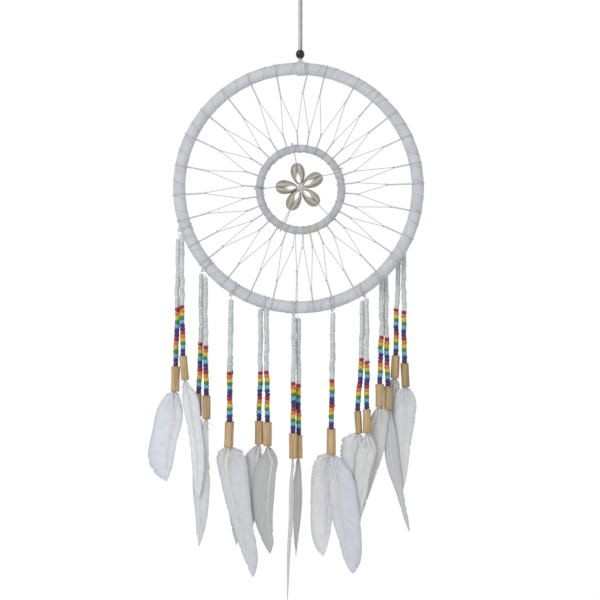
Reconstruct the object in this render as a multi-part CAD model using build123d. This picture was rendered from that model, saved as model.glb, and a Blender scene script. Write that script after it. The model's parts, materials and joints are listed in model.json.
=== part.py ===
from build123d import *

import math
import os

# Hanging dream catcher: a tape-wrapped cane hoop with a thread web, a small inner hoop that holds
# a flower of cowrie shells, and nine pairs of beaded strands that end in bamboo tubes and feathers.
# Millimetres, +Z up. The origin is where a nail bears in the hanging eye; the front faces -Y.

# Outer hoop
HOOP_X, HOOP_Z = -1.5, -194.7
HOOP_OUTER_RADIUS = 110.0
HOOP_RIM_RADIUS = 5.5
HOOP_CORE_RADIUS = 4.2
HOOP_RADIUS = HOOP_OUTER_RADIUS - HOOP_RIM_RADIUS

# Inner hoop
INNER_X, INNER_Z = 0.3, -196.0
INNER_OUTER_RADIUS = 39.5
INNER_RIM_RADIUS = 3.6
INNER_CORE_RADIUS = 2.5
INNER_RADIUS = INNER_OUTER_RADIUS - INNER_RIM_RADIUS

# Web thread: angles go clockwise from the top, as seen from the front
THREAD_RADIUS = 0.5
THREAD_GAP = 0.15
TIE_ANGLES = [
    4.2, 13.0, 28.8, 40.4, 51.8, 64.4, 78.0, 87.9, 101.4, 114.1, 124.9, 137.0, 151.1, 163.0, 172.8,
    181.0, 192.9, 204.7, 218.1, 232.1, 241.7, 254.5, 266.8, 280.7, 295.5, 308.7, 321.9, 335.4, 349.0,
]
SPLIT_RADII = [
    83.2, 81.9, 83.9, 82.7, 78.2, 82.7, 85.3, 77.4, 82.3, 81.3, 81.6, 80.2, 81.8, 84.5, 88.5,
    73.1, 82.9, 78.4, 84.2, 83.7, 80.4, 81.6, 81.6, 80.4, 74.9, 82.1, 76.7, 81.5, 80.2,
]
SPLIT_ANGLES = [2.5, *TIE_ANGLES[1:]]
INNER_SPLIT_RADIUS = 51.2
KNOT_BEND = 1.5

# Cowrie flower
FLOWER_X, FLOWER_Z = 0.2, -194.2
SHELL_LENGTH, SHELL_WIDTH = 17.9, 12.9
SHELL_WALL = 1.2
SHELL_START = 3.9
SHELL_ANGLES = [350.4, 60.8, 133.8, 206.4, 271.4]
SLIT_LENGTH = 13.5
SLIT_WIDTHS = (2.6, 1.2)
HUB_RADIUS, HUB_DEPTH = 3.3, 6.0
SPOKE_RADIUS = 0.45
SPOKE_Y = 0.6
SPOKE_END_GAP = 1.3
SPOKE_ANGLES = [350.6, 64.5, 132.5, 207.5, 272.0]

# Hanging lace, its bead, its knot and its hitch on the rim
LACE_WIDTH, LACE_THICK = 2.45, 1.3
LACE_BOTTOM = -82.3
LACE_LEFT = [(-0.62, LACE_BOTTOM), (-0.62, -24.0), (-5.6, -12.0), (-2.6, -2.0), (-1.6, 3.7)]
LACE_RIGHT = [(1.26, LACE_BOTTOM), (1.26, -24.0), (5.8, -12.0), (2.4, -2.0), (1.0, 3.7)]
LACE_BENDS = [30.0, 13.0, 12.0]
KNOT_BOTTOM, KNOT_TOP, KNOT_RADIUS = 4.0, 12.0, 4.4
TAIL_LENGTH = 7.0
CORD_BEAD_Z, CORD_BEAD_RADIUS, CORD_BEAD_HEIGHT, CORD_BEAD_BORE = -77.5, 3.85, 7.0, 2.6
HITCH_X = (-1.45, 2.35)
HITCH_BAND_WIDTH = 3.2
HITCH_CLEARANCE = 0.3

# Tassel strands
WHITE_RADIUS, WHITE_PITCH = 1.95, 2.6
COLOUR_RADIUS, COLOUR_COUNT = 2.15, 14
BEAD_BORE = 0.6
BEAD_SPACE = 0.06
RUN_SPACE = 0.05
CORE_THREAD_RADIUS = 0.4
TUBE_BORE = 1.6
THREAD_IN_TUBE = 8.0
ROOT_IN_TUBE = 5.0
ROOT_WIDTH = 1.8
FEATHER_THICKNESS = 0.8
TIE_LOOP_ANGLES = [250.6, 229.4, 212.4, 196.2, 182.2, 164.6, 148.5, 138.6, 126.6]

# Each strand: thread start, first white bead to coloured beads (x, z), tube top, tube bottom, tube
# radius, white beads, y at the thread start and y at the tube.
STRANDS = {
    "1a": dict(start=(-106.6, -227.5), colour=(-107.7, -299.4), tube=(-109.1, -350.9), end=(-109.7, -373.0),
               radius=3.7, whites=22, y=(1.3, 1.9)),
    "1b": dict(start=(-103.6, -236.6), colour=(-103.5, -297.5), tube=(-102.6, -341.7), end=(-100.6, -362.9),
               radius=3.3, whites=22, y=(-1.3, -1.9)),
    "2a": dict(start=(-86.7, -266.0), colour=(-87.0, -329.9), tube=(-89.2, -374.9), end=(-89.2, -394.9),
               radius=2.9, whites=22, y=(1.9, 3.8)),
    "2b": dict(start=(-83.0, -270.0), colour=(-83.0, -332.7), tube=(-82.2, -376.5), end=(-82.1, -397.2),
               radius=3.6, whites=22, y=(-0.8, 1.0)),
    "3f": dict(start=(-60.4, -289.5), colour=(-61.8, -355.4), tube=(-62.1, -399.4), end=(-63.0, -421.7),
               radius=3.75, whites=22, y=(-2.3, -4.0)),
    "3r": dict(start=(-60.4, -289.5), colour=(-61.4, -354.9), tube=(-61.6, -399.0), end=(-62.4, -420.9),
               radius=3.75, whites=22, y=(2.3, 4.0)),
    "4a": dict(start=(-34.8, -301.8), colour=(-34.9, -355.4), tube=(-36.1, -398.7), end=(-36.2, -419.4),
               radius=3.6, whites=20, y=(1.3, 1.7)),
    "4b": dict(start=(-29.6, -302.0), colour=(-29.4, -354.5), tube=(-28.6, -399.7), end=(-28.6, -420.9),
               radius=3.6, whites=20, y=(-1.3, -1.0)),
    "5a": dict(start=(-5.4, -306.2), colour=(-5.9, -364.5), tube=(-6.2, -409.2), end=(-6.3, -431.6),
               radius=3.6, whites=22, y=(-1.3, -2.9)),
    "5b": dict(start=(-1.5, -306.2), colour=(-1.5, -366.3), tube=(-1.5, -411.2), end=(-1.5, -431.6),
               radius=3.6, whites=22, y=(1.3, 2.9)),
    "6f": dict(start=(28.7, -302.2), colour=(27.9, -362.0), tube=(27.2, -405.8), end=(27.2, -427.9),
               radius=3.8, whites=22, y=(-2.3, -4.0)),
    "6r": dict(start=(28.7, -302.2), colour=(28.2, -361.4), tube=(27.0, -405.2), end=(26.8, -427.2),
               radius=3.8, whites=22, y=(2.3, 4.0)),
    "7a": dict(start=(54.4, -292.2), colour=(53.7, -343.4), tube=(50.3, -390.0), end=(51.6, -409.9),
               radius=3.0, whites=19, y=(1.5, 1.7)),
    "7b": dict(start=(57.9, -290.2), colour=(58.3, -346.1), tube=(58.4, -388.5), end=(58.3, -409.6),
               radius=3.4, whites=21, y=(-1.2, -1.0)),
    "8a": dict(start=(71.7, -263.0), colour=(71.3, -324.3), tube=(69.7, -366.3), end=(69.6, -386.9),
               radius=3.6, whites=22, y=(8.9, 4.0)),
    "8b": dict(start=(75.3, -265.0), colour=(75.7, -325.9), tube=(77.0, -368.3), end=(77.2, -389.2),
               radius=3.5, whites=22, y=(11.4, 6.4)),
    "9a": dict(start=(87.5, -240.0), colour=(84.9, -300.2), tube=(84.1, -341.6), end=(83.1, -361.7),
               radius=3.7, whites=22, y=(11.4, 11.6)),
    "9b": dict(start=(90.9, -242.0), colour=(91.2, -302.1), tube=(91.6, -348.2), end=(92.8, -369.4),
               radius=3.5, whites=22, y=(8.9, 8.9)),
}

# Each feather: left edge from the tube down, tip, right edge from the tube down, as (x, z), and how
# far it is turned about its own length.
FEATHERS = {
    "1a": dict(left=[(-116.7, -378), (-124.6, -389), (-129.4, -409), (-133.3, -427), (-131.5, -439), (-125, -447)],
               tip=(-117, -452), right=[(-103.8, -386), (-103.3, -397), (-108.2, -417), (-112.6, -440)]),
    "1b": dict(left=[(-102.1, -386), (-98, -407), (-95.4, -429), (-93.3, -450), (-91, -463)],
               tip=(-88.9, -466.2), right=[(-97.4, -368), (-91.5, -376), (-87.8, -392), (-85.8, -409),
                                           (-83.8, -431), (-84.6, -448)]),
    "2a": dict(left=[(-91.5, -402), (-93, -420), (-92, -445)],
               tip=(-88.5, -462), right=[(-86.5, -402), (-85, -420), (-85.5, -445)]),
    "2b": dict(left=[(-86, -406), (-91, -420), (-94, -445), (-93.5, -465), (-91.8, -480), (-90.6, -499)],
               tip=(-88.9, -509), right=[(-80.8, -410), (-80.6, -426), (-79.7, -438), (-79.9, -465),
                                         (-81.9, -485), (-85.5, -500)]),
    "3f": dict(left=[(-69, -425), (-72.4, -431), (-71.3, -442), (-66.1, -465.4), (-59.7, -487), (-50.1, -516)],
               tip=(-41.5, -535.5), right=[(-57.5, -424), (-50, -430), (-46.5, -445), (-43.5, -470),
                                           (-41.2, -490), (-38, -509), (-37.4, -523)]),
    "3r": dict(left=[(-65, -428), (-66, -445), (-63.5, -470), (-61, -488)],
               tip=(-56, -508), right=[(-58, -428), (-52, -450), (-51, -475), (-53, -497)]),
    "4a": dict(left=[(-41, -424), (-47.5, -430.3), (-48, -445), (-46.5, -470)],
               tip=(-42.5, -492), right=[(-34.6, -424), (-33, -440), (-35, -465), (-38.5, -482)]),
    "4b": dict(left=[(-31, -427), (-37, -437), (-41.6, -455), (-41.8, -475), (-38.5, -490), (-32.1, -505.7)],
               tip=(-26.7, -515), right=[(-25.5, -424), (-20.6, -431.6), (-21.3, -445), (-22.5, -458.4),
                                         (-24.1, -495.2), (-24.6, -511)]),
    "5a": dict(left=[(-11, -441), (-16.2, -455), (-18.3, -480), (-17.5, -515), (-14.5, -545)],
               tip=(-11.5, -564), right=[(-4.6, -441), (-2.4, -455), (-2.6, -480), (-6.5, -515), (-9.5, -545)],
               turned=75.0),
    "5b": dict(left=[(-6, -441), (-9.2, -455), (-9.2, -480), (-7, -502)],
               tip=(-3.8, -518), right=[(3, -441), (6.4, -455), (5.6, -480), (1, -502)], turned=-62.0),
    "6f": dict(left=[(25.5, -440), (26, -462), (28.4, -485.5), (32.6, -499), (37.5, -517)],
               tip=(46, -532.5), right=[(32, -431), (37.5, -437), (45.1, -447), (49.3, -464), (52.7, -485.5),
                                        (53.5, -503), (51.9, -524)]),
    "6r": dict(left=[(20, -430.5), (14.1, -435.2), (11.1, -443.5), (9.3, -465), (9.1, -480), (10.4, -500),
                     (14.1, -511)],
               tip=(20.5, -517.7), right=[(29, -434), (30, -450), (29, -470), (27.6, -487.3), (23.8, -508)]),
    "7a": dict(left=[(45, -412), (38.5, -417), (36, -427), (37, -445), (42, -468)],
               tip=(50, -487), right=[(55, -416), (57.5, -430), (57, -450), (54.5, -472)]),
    "7b": dict(left=[(56, -415), (51, -424), (48, -440), (47.5, -458), (49, -473)],
               tip=(52.6, -485.5), right=[(61.5, -412.5), (65, -418.9), (66.2, -425), (62.9, -438.2),
                                          (59.4, -456.6), (55.5, -474)]),
    "8a": dict(left=[(66, -390.5), (62.5, -397), (61.5, -412), (59, -430), (56, -452), (52, -473)],
               tip=(51, -490), right=[(74, -388.8), (76.7, -394), (76.6, -402), (75.4, -413.7), (73, -426),
                                      (65.5, -448.3), (58, -470)]),
    "8b": dict(left=[(75.8, -398), (74.3, -413.7), (74.3, -426), (76.7, -440.8), (83.9, -461), (91, -484)],
               tip=(95.8, -496.5), right=[(81, -397), (84.5, -415), (88.5, -445), (91.5, -468), (94.6, -484)]),
    "9a": dict(left=[(79.5, -364.6), (77.5, -375), (77.2, -390), (78, -410)],
               tip=(82, -432), right=[(86, -365), (87.2, -375), (87.4, -390), (86.5, -412)]),
    "9b": dict(left=[(88.5, -372), (84, -378), (82.8, -385), (83, -400), (83.5, -420), (85, -440)],
               tip=(90.3, -459.5), right=[(97, -373.6), (101.3, -381.9), (101.5, -392), (99.8, -404),
                                          (97.6, -416.3), (93.9, -444.3)]),
}

# Strands that hang as one, by body
BODIES = {
    "1a": ["1a"], "1b": ["1b"], "2a": ["2a"], "2b": ["2b"], "3": ["3f", "3r"], "4a": ["4a"], "4b": ["4b"],
    "5": ["5a", "5b"], "6": ["6f", "6r"], "7a": ["7a"], "7b": ["7b"], "8a": ["8a"], "8b": ["8b"],
    "9a": ["9a"], "9b": ["9b"],
}


def export(shapes, name):
    """Write one node's separate solids."""
    export_step(Compound(shapes), f"parts/{name}.step")


def on_ring(angle, radius, centre_x, centre_z, y=0.0, aside=0.0):
    """A point at an angle clockwise from the top of a ring, moved aside along the ring."""
    a = math.radians(angle)
    x = centre_x + radius * math.sin(a) + aside * math.cos(a)
    z = centre_z + radius * math.cos(a) - aside * math.sin(a)
    return Vector(x, y, z)


def ring(x, z, radius, rim_radius):
    """A round-section ring that faces along Y."""
    return Plane(origin=(x, 0, z), z_dir=(0, 1, 0)) * Torus(radius, rim_radius)


def loop_round_rim(angle, radius, rim_radius, centre_x, centre_z):
    """One turn of thread round a hoop's rim."""
    along = Vector(math.cos(math.radians(angle)), 0, -math.sin(math.radians(angle)))
    plane = Plane(origin=on_ring(angle, radius, centre_x, centre_z), z_dir=along)
    return plane * Torus(rim_radius + THREAD_GAP + THREAD_RADIUS, THREAD_RADIUS)


def thread(points, radius, bends=None):
    """A round thread along straight runs joined by tangent arcs."""
    path = FilletPolyline(*points, radius=bends) if bends else Polyline(*points)
    return sweep(Plane(origin=path @ 0, z_dir=path % 0) * Circle(radius), path=path)


def web_leg(index, side):
    """The thread from one outer tie to the inner hoop, on the left (-1) or right (+1) of its stem."""
    last = len(TIE_ANGLES)
    neighbour = (index + side) % last
    angle, other = TIE_ANGLES[index], TIE_ANGLES[neighbour]
    middle = angle + ((other - angle + 180) % 360 - 180) / 2
    aside = side * (THREAD_RADIUS + THREAD_GAP / 2)
    rim = HOOP_RADIUS - HOOP_RIM_RADIUS - THREAD_GAP * 2 - THREAD_RADIUS * 2
    inner_rim = INNER_OUTER_RADIUS + THREAD_GAP * 2 + THREAD_RADIUS * 2
    points = [
        on_ring(angle, rim, HOOP_X, HOOP_Z, aside=aside),
        on_ring(SPLIT_ANGLES[index], SPLIT_RADII[index], HOOP_X, HOOP_Z, aside=aside),
        on_ring(middle, INNER_SPLIT_RADIUS, INNER_X, INNER_Z, aside=-aside),
        on_ring(middle, inner_rim, INNER_X, INNER_Z, aside=-aside),
    ]
    return thread(points, THREAD_RADIUS, KNOT_BEND)


def web_shapes():
    """Every leg of the web, with its turns round both rims."""
    shapes = []
    for index, angle in enumerate(TIE_ANGLES):
        shapes += [web_leg(index, -1), web_leg(index, 1)]
        shapes.append(loop_round_rim(angle, HOOP_RADIUS, HOOP_RIM_RADIUS, HOOP_X, HOOP_Z))
        following = TIE_ANGLES[(index + 1) % len(TIE_ANGLES)]
        middle = angle + ((following - angle) % 360) / 2
        shapes.append(loop_round_rim(middle, INNER_RADIUS, INNER_RIM_RADIUS, INNER_X, INNER_Z))
    return shapes


def cowrie():
    """A cut cowrie along +Z from the origin, its slit to the front and its flat back at y = 0."""
    half, wide = SHELL_LENGTH / 2, SHELL_WIDTH / 2

    def body(inset):
        profile = Spline(
            (0, 0, inset),
            (wide * 0.72 - inset, 0, half * 0.42),
            (wide - inset, 0, half * 1.12),
            (wide * 0.66 - inset, 0, half * 1.76),
            (0, 0, SHELL_LENGTH - inset),
            tangents=[(1, 0, 0.3), (-1, 0, 0.12)],
        )
        return revolve(make_face([profile, Line(profile @ 1, profile @ 0)]), axis=Axis.Z)

    slit = Polygon(
        (-SLIT_WIDTHS[0] / 2, half - SLIT_LENGTH / 2),
        (SLIT_WIDTHS[0] / 2, half - SLIT_LENGTH / 2),
        (SLIT_WIDTHS[1] / 2, half + SLIT_LENGTH / 2),
        (-SLIT_WIDTHS[1] / 2, half + SLIT_LENGTH / 2),
        align=None,
    )
    slit = extrude(Plane.XZ * slit, SHELL_WIDTH)
    behind = Pos(0, SHELL_WIDTH, half) * Box(SHELL_WIDTH * 2, SHELL_WIDTH * 2, SHELL_LENGTH * 2)
    return body(0) - body(SHELL_WALL) - slit - behind


def flower():
    """Cowries, hub knot and the spoke threads behind them."""
    shell = cowrie().solid()
    shells = []
    for angle in SHELL_ANGLES:
        foot = on_ring(angle, SHELL_START, FLOWER_X, FLOWER_Z)
        shells.append(shell.rotate(Axis.Y, angle).translate(foot))
    hub = Plane(origin=(FLOWER_X, -HUB_DEPTH / 2, FLOWER_Z), z_dir=(0, 1, 0)) * Cylinder(
        HUB_RADIUS, HUB_DEPTH
    )
    hub = fillet(hub.edges(), HUB_RADIUS * 0.6)
    spokes = []
    for shell_angle, angle in zip(SHELL_ANGLES, SPOKE_ANGLES):
        start = on_ring(shell_angle, HUB_RADIUS + THREAD_GAP, FLOWER_X, FLOWER_Z, y=SPOKE_Y)
        end = on_ring(angle, INNER_RADIUS - INNER_RIM_RADIUS - SPOKE_END_GAP, INNER_X, INNER_Z, y=SPOKE_Y)
        spokes.append(thread([start, end], SPOKE_RADIUS))
    return shells, hub, spokes


def lace_strip(points, width, thick):
    """One leg of the flat lace, from below the bead to the knot."""
    path = FilletPolyline(*[(x, 0, z) for x, z in points], radius=LACE_BENDS)
    section = Plane(origin=path @ 0, z_dir=(0, 0, 1), x_dir=(1, 0, 0)) * Rectangle(width, thick)
    return sweep(section, path=path)


def hitch():
    """The lark's head of lace round the top of the rim."""
    top = HOOP_Z + HOOP_RADIUS
    inner = HOOP_RIM_RADIUS + HITCH_CLEARANCE
    outer = inner + LACE_THICK
    middle = sum(HITCH_X) / 2
    bands = [
        Plane(origin=(x, 0, top), z_dir=(1, 0, 0)) * (Cylinder(outer, HITCH_BAND_WIDTH) - Cylinder(
            inner, HITCH_BAND_WIDTH))
        for x in HITCH_X
    ]
    neck_bottom = top + inner + LACE_THICK / 2
    neck_height = LACE_BOTTOM - 0.2 - neck_bottom
    neck = Pos(0.3, 0, neck_bottom + neck_height / 2) * Box(LACE_WIDTH + LACE_THICK, LACE_WIDTH, neck_height)
    bridge = Pos(middle, 0, top + (inner + outer) / 2) * Box(HITCH_X[1] - HITCH_X[0], 2 * LACE_WIDTH, LACE_THICK / 2)
    return bands[0] + bands[1] + neck + bridge


def bead(radius, height, bore):
    """A seed bead about Z: a rounded barrel with a hole."""
    half = height / 2
    flat = radius * 0.72
    outline = [
        Line((bore, 0, -half), (flat, 0, -half)),
        ThreePointArc((flat, 0, -half), (radius, 0, 0), (flat, 0, half)),
        Line((flat, 0, half), (bore, 0, half)),
        Line((bore, 0, half), (bore, 0, -half)),
    ]
    return revolve(make_face(outline), axis=Axis.Z).solid()


def along(start, end, share):
    return start + (end - start) * share


def straight_thread(start, end):
    """One straight run of strand thread, ended just short of the runs beside it."""
    length = (end - start).length - RUN_SPACE * 2
    return Plane(origin=(start + end) / 2, z_dir=end - start) * Cylinder(CORE_THREAD_RADIUS, length)


def strand_points(name):
    """Thread start, first coloured bead, tube top and tube bottom of a strand, in space."""
    s = STRANDS[name]
    top_z, low_z = s["start"][1], s["tube"][1]
    points = []
    for x, z in (s["start"], s["colour"], s["tube"]):
        share = (top_z - z) / (top_z - low_z)
        points.append(Vector(x, s["y"][0] + (s["y"][1] - s["y"][0]) * share, z))
    points.append(Vector(s["end"][0], s["y"][1], s["end"][1]))
    return points


def beads_of(name, white, coloured):
    """White beads up from the first coloured one, coloured beads down to the tube, and their thread."""
    start, colour, tube, end = strand_points(name)
    s = STRANDS[name]
    shapes = []
    up = (start - colour).normalized()
    for i in range(s["whites"]):
        spot = colour + up * (WHITE_PITCH * (i + 0.5))
        shapes.append(white.moved(Plane(origin=spot, z_dir=up).location))
    pitch = (tube - colour).length / COLOUR_COUNT
    for i in range(COLOUR_COUNT):
        spot = along(colour, tube, (i + 0.5) / COLOUR_COUNT)
        direction = (tube - colour).normalized()
        shapes.append(coloured(pitch).moved(Plane(origin=spot, z_dir=direction).location))
    inside = tube + (end - tube).normalized() * THREAD_IN_TUBE
    for run in ((start, colour), (colour, tube), (tube, inside)):
        shapes.append(straight_thread(*run))
    return shapes


def tube_of(name):
    """A bamboo tube, open at both ends."""
    _, _, top, bottom = strand_points(name)
    plane = Plane(origin=(top + bottom) / 2, z_dir=bottom - top)
    length = (bottom - top).length - BEAD_SPACE * 2
    return plane * (Cylinder(STRANDS[name]["radius"], length) - Cylinder(TUBE_BORE, length))


def feather_of(name):
    """A plain thin plate with the feather's outline, its quill held in the tube."""
    f = FEATHERS[name]
    _, _, top, bottom = strand_points(name)
    root = bottom + (top - bottom).normalized() * ROOT_IN_TUBE
    half = ROOT_WIDTH / 2
    left = [(bottom.X - half, bottom.Z), *f["left"], f["tip"]]
    right = [(bottom.X + half, bottom.Z), *f["right"], f["tip"]]
    edges = [
        Spline(*[(x, 0, z) for x, z in left]),
        Spline(*[(x, 0, z) for x, z in right]),
        Polyline(
            (left[0][0], 0, left[0][1]),
            (root.X - half, 0, root.Z),
            (root.X + half, 0, root.Z),
            (right[0][0], 0, right[0][1]),
        ),
    ]
    plate = extrude(make_face(edges), FEATHER_THICKNESS / 2, both=True)
    if "turned" in f:
        tip = Vector(f["tip"][0], 0, f["tip"][1])
        plate = plate.rotate(Axis((bottom.X, 0, bottom.Z), tip - Vector(bottom.X, 0, bottom.Z)), f["turned"])
    return plate.translate((0, bottom.Y, 0))


def main():
    os.makedirs("parts", exist_ok=True)

    hoop_core = ring(HOOP_X, HOOP_Z, HOOP_RADIUS, HOOP_CORE_RADIUS)
    export([hoop_core], "outer_hoop_core")
    export([ring(HOOP_X, HOOP_Z, HOOP_RADIUS, HOOP_RIM_RADIUS) - hoop_core], "outer_hoop_wrap")
    inner_core = ring(INNER_X, INNER_Z, INNER_RADIUS, INNER_CORE_RADIUS)
    export([inner_core], "inner_hoop_core")
    export([ring(INNER_X, INNER_Z, INNER_RADIUS, INNER_RIM_RADIUS) - inner_core], "inner_hoop_wrap")
    export(web_shapes(), "web_thread")

    shells, hub, spokes = flower()
    export(shells, "cowrie_shells")
    export([hub], "flower_hub")
    export(spokes, "flower_threads")
    ties = [loop_round_rim(a, HOOP_RADIUS, HOOP_RIM_RADIUS, HOOP_X, HOOP_Z) for a in TIE_LOOP_ANGLES]
    export(ties, "tassel_ties")

    export([lace_strip(LACE_LEFT, LACE_WIDTH, LACE_THICK), lace_strip(LACE_RIGHT, LACE_THICK, LACE_WIDTH)],
           "hanging_lace")
    knot = Pos(0, 0, (KNOT_BOTTOM + KNOT_TOP) / 2) * Cylinder(KNOT_RADIUS, KNOT_TOP - KNOT_BOTTOM)
    knot = fillet(knot.edges(), 1.4)
    tails = [
        Pos(x, 0, KNOT_TOP + TAIL_LENGTH / 2) * Box(LACE_THICK, LACE_WIDTH, TAIL_LENGTH) for x in (-1.2, 1.2)
    ]
    export([knot, *tails], "lace_knot")
    export([hitch()], "lace_hitch")
    cord_bead = Pos(0, 0, CORD_BEAD_Z) * bead(CORD_BEAD_RADIUS, CORD_BEAD_HEIGHT, CORD_BEAD_BORE)
    export([cord_bead], "cord_bead")

    white = bead(WHITE_RADIUS, WHITE_PITCH - BEAD_SPACE, BEAD_BORE)

    def coloured(pitch):
        return bead(COLOUR_RADIUS, pitch - BEAD_SPACE, BEAD_BORE)

    for body, names in BODIES.items():
        export([shape for name in names for shape in beads_of(name, white, coloured)], f"tassel_{body}_beads")
        export([tube_of(name) for name in names], f"tassel_{body}_tube")
        export([feather_of(name) for name in names], f"tassel_{body}_feather")

    print("bend radii of the lace and of the web's splits, mm:", LACE_BENDS, KNOT_BEND)


main()
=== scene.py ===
import json
import math
import random

import bmesh
import bpy
import numpy as np
from mathutils import Matrix, Vector, noise

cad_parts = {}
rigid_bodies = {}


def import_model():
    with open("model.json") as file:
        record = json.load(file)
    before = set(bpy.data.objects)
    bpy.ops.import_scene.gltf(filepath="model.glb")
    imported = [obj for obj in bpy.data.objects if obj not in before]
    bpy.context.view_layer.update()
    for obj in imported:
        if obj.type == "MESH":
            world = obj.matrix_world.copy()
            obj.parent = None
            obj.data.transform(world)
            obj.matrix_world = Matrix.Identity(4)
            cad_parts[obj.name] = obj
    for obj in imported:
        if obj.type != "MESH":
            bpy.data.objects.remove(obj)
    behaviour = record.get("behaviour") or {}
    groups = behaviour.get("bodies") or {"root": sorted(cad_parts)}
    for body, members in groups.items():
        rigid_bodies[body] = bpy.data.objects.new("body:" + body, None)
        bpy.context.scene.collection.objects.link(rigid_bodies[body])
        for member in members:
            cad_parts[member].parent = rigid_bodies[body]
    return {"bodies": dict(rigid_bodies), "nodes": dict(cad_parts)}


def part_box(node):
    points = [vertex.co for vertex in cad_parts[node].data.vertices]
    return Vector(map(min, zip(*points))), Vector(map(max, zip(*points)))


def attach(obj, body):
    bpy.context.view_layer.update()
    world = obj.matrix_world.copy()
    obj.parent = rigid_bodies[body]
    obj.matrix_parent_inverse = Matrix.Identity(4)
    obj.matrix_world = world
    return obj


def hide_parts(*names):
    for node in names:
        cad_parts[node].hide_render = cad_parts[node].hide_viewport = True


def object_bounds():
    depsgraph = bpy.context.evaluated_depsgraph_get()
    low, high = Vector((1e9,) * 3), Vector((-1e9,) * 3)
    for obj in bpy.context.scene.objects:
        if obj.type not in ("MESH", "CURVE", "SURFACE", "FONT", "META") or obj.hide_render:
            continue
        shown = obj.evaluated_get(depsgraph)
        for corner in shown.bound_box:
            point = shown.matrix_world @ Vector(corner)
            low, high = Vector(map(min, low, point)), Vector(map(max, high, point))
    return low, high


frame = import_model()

# The dream catcher's finish: cloth tape on its two hoops, twisted thread, cut cowries, seed beads,
# bamboo tubes and feathers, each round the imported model. Metres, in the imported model's frame.
MM = 0.001
FRONT = Vector((0, -1, 0))
cad_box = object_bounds()


# Camera, at the front, level with the object
FRAME_WIDTH = 525.6 * MM
CAMERA_X, CAMERA_Z = -0.2 * MM, -292.8 * MM
LENS, SENSOR = 170.0, 36.0

camera_data = bpy.data.cameras.new("camera")
camera_data.lens = LENS
camera_data.sensor_width = SENSOR
camera = bpy.data.objects.new("camera", camera_data)
camera.location = (CAMERA_X, -FRAME_WIDTH * LENS / SENSOR, CAMERA_Z)
camera.rotation_euler = (math.pi / 2, 0, 0)
bpy.context.collection.objects.link(camera)
bpy.context.scene.camera = camera


# Small helpers for nodes, meshes and pieces
def linear(code):
    """An sRGB hex colour as a linear one."""
    shares = [int(code[i:i + 2], 16) / 255 for i in (0, 2, 4)]
    return (*[c / 12.92 if c <= 0.04045 else ((c + 0.055) / 1.055) ** 2.4 for c in shares], 1.0)


def add(tree, kind, inputs=None, **settings):
    """A node with its settings; each input takes a value, a socket or a list of sockets."""
    made = tree.nodes.new(kind)
    for name, value in settings.items():
        setattr(made, name, value)
    for key, value in (inputs or {}).items():
        for one in value if isinstance(value, list) else [value]:
            if isinstance(one, bpy.types.NodeSocket):
                tree.links.new(one, made.inputs[key])
            else:
                made.inputs[key].default_value = one
    return made


def closed_rings(rings, meet=False):
    """Points and faces of closed rings, each joined to the next, capped at the ends unless they meet."""
    rings = np.asarray(rings, float)
    count, around = rings.shape[:2]
    at = np.arange(count * around).reshape(count, around)
    here = at if meet else at[:-1]
    there = np.roll(at, -1, axis=0)[:len(here)]
    faces = np.stack([here, there, np.roll(there, -1, axis=1), np.roll(here, -1, axis=1)], -1)
    faces = faces.reshape(-1, 4).tolist()
    if not meet:
        faces += [at[0].tolist(), at[-1][::-1].tolist()]
    return rings.reshape(-1, 3), faces


def joined(shapes):
    """Several lots of points and faces as one."""
    points, faces, start = [], [], 0
    for some, theirs in shapes:
        points.append(some)
        faces += [[i + start for i in face] for face in theirs]
        start += len(some)
    return np.concatenate(points), faces


def tidy(mesh, sharp=None):
    """Merges a mesh's doubles, turns its faces outwards and shades it smooth up to an angle."""
    work = bmesh.new()
    work.from_mesh(mesh)
    bmesh.ops.remove_doubles(work, verts=work.verts, dist=0.002 * MM)
    bmesh.ops.recalc_face_normals(work, faces=work.faces)
    work.to_mesh(mesh)
    work.free()
    mesh.shade_smooth()
    if sharp:
        mesh.set_sharp_from_angle(angle=math.radians(sharp))


def linked(name, data):
    """An object with this data, in the scene."""
    made = bpy.data.objects.new(name, data)
    bpy.context.collection.objects.link(made)
    return made


def solid(name, shape, material, sharp=None, **marks):
    """An object made of points and faces, with any values its points carry for the material to read."""
    points, faces = shape
    mesh = bpy.data.meshes.new(name)
    mesh.from_pydata([tuple(p) for p in points], [], faces)
    for label, values in marks.items():
        field = mesh.attributes.new(label, "FLOAT", "POINT").data
        field.foreach_set("value", np.asarray(values, np.float32))
    mesh.materials.append(material)
    tidy(mesh, sharp)
    return linked(name, mesh)


def fit(made, body, slot, *nodes):
    """The piece rides on a body and stands for CAD nodes, which it hides. The slot is not used."""
    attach(made, body)
    if nodes:
        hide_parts(*nodes)
    return made


def carried(points, closed=False):
    """Tangent, side and lift of each point of a path, carried along it without twist."""
    points = np.asarray(points, float)
    if closed:
        ahead, behind = np.roll(points, -1, axis=0), np.roll(points, 1, axis=0)
    else:
        ahead = np.concatenate([points[1:], points[-1:]])
        behind = np.concatenate([points[:1], points[:-1]])
    tangents = ahead - behind
    tangents /= np.linalg.norm(tangents, axis=1)[:, None]
    side = np.cross(tangents[0], (0, 1, 0))
    if np.linalg.norm(side) < 0.1:
        side = np.array((1.0, 0, 0))
    sides = []
    for tangent in tangents:
        side = side - tangent * (side @ tangent)
        side = side / np.linalg.norm(side)
        sides.append(side)
    sides = np.array(sides)
    return tangents, sides, np.cross(tangents, sides)


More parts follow.
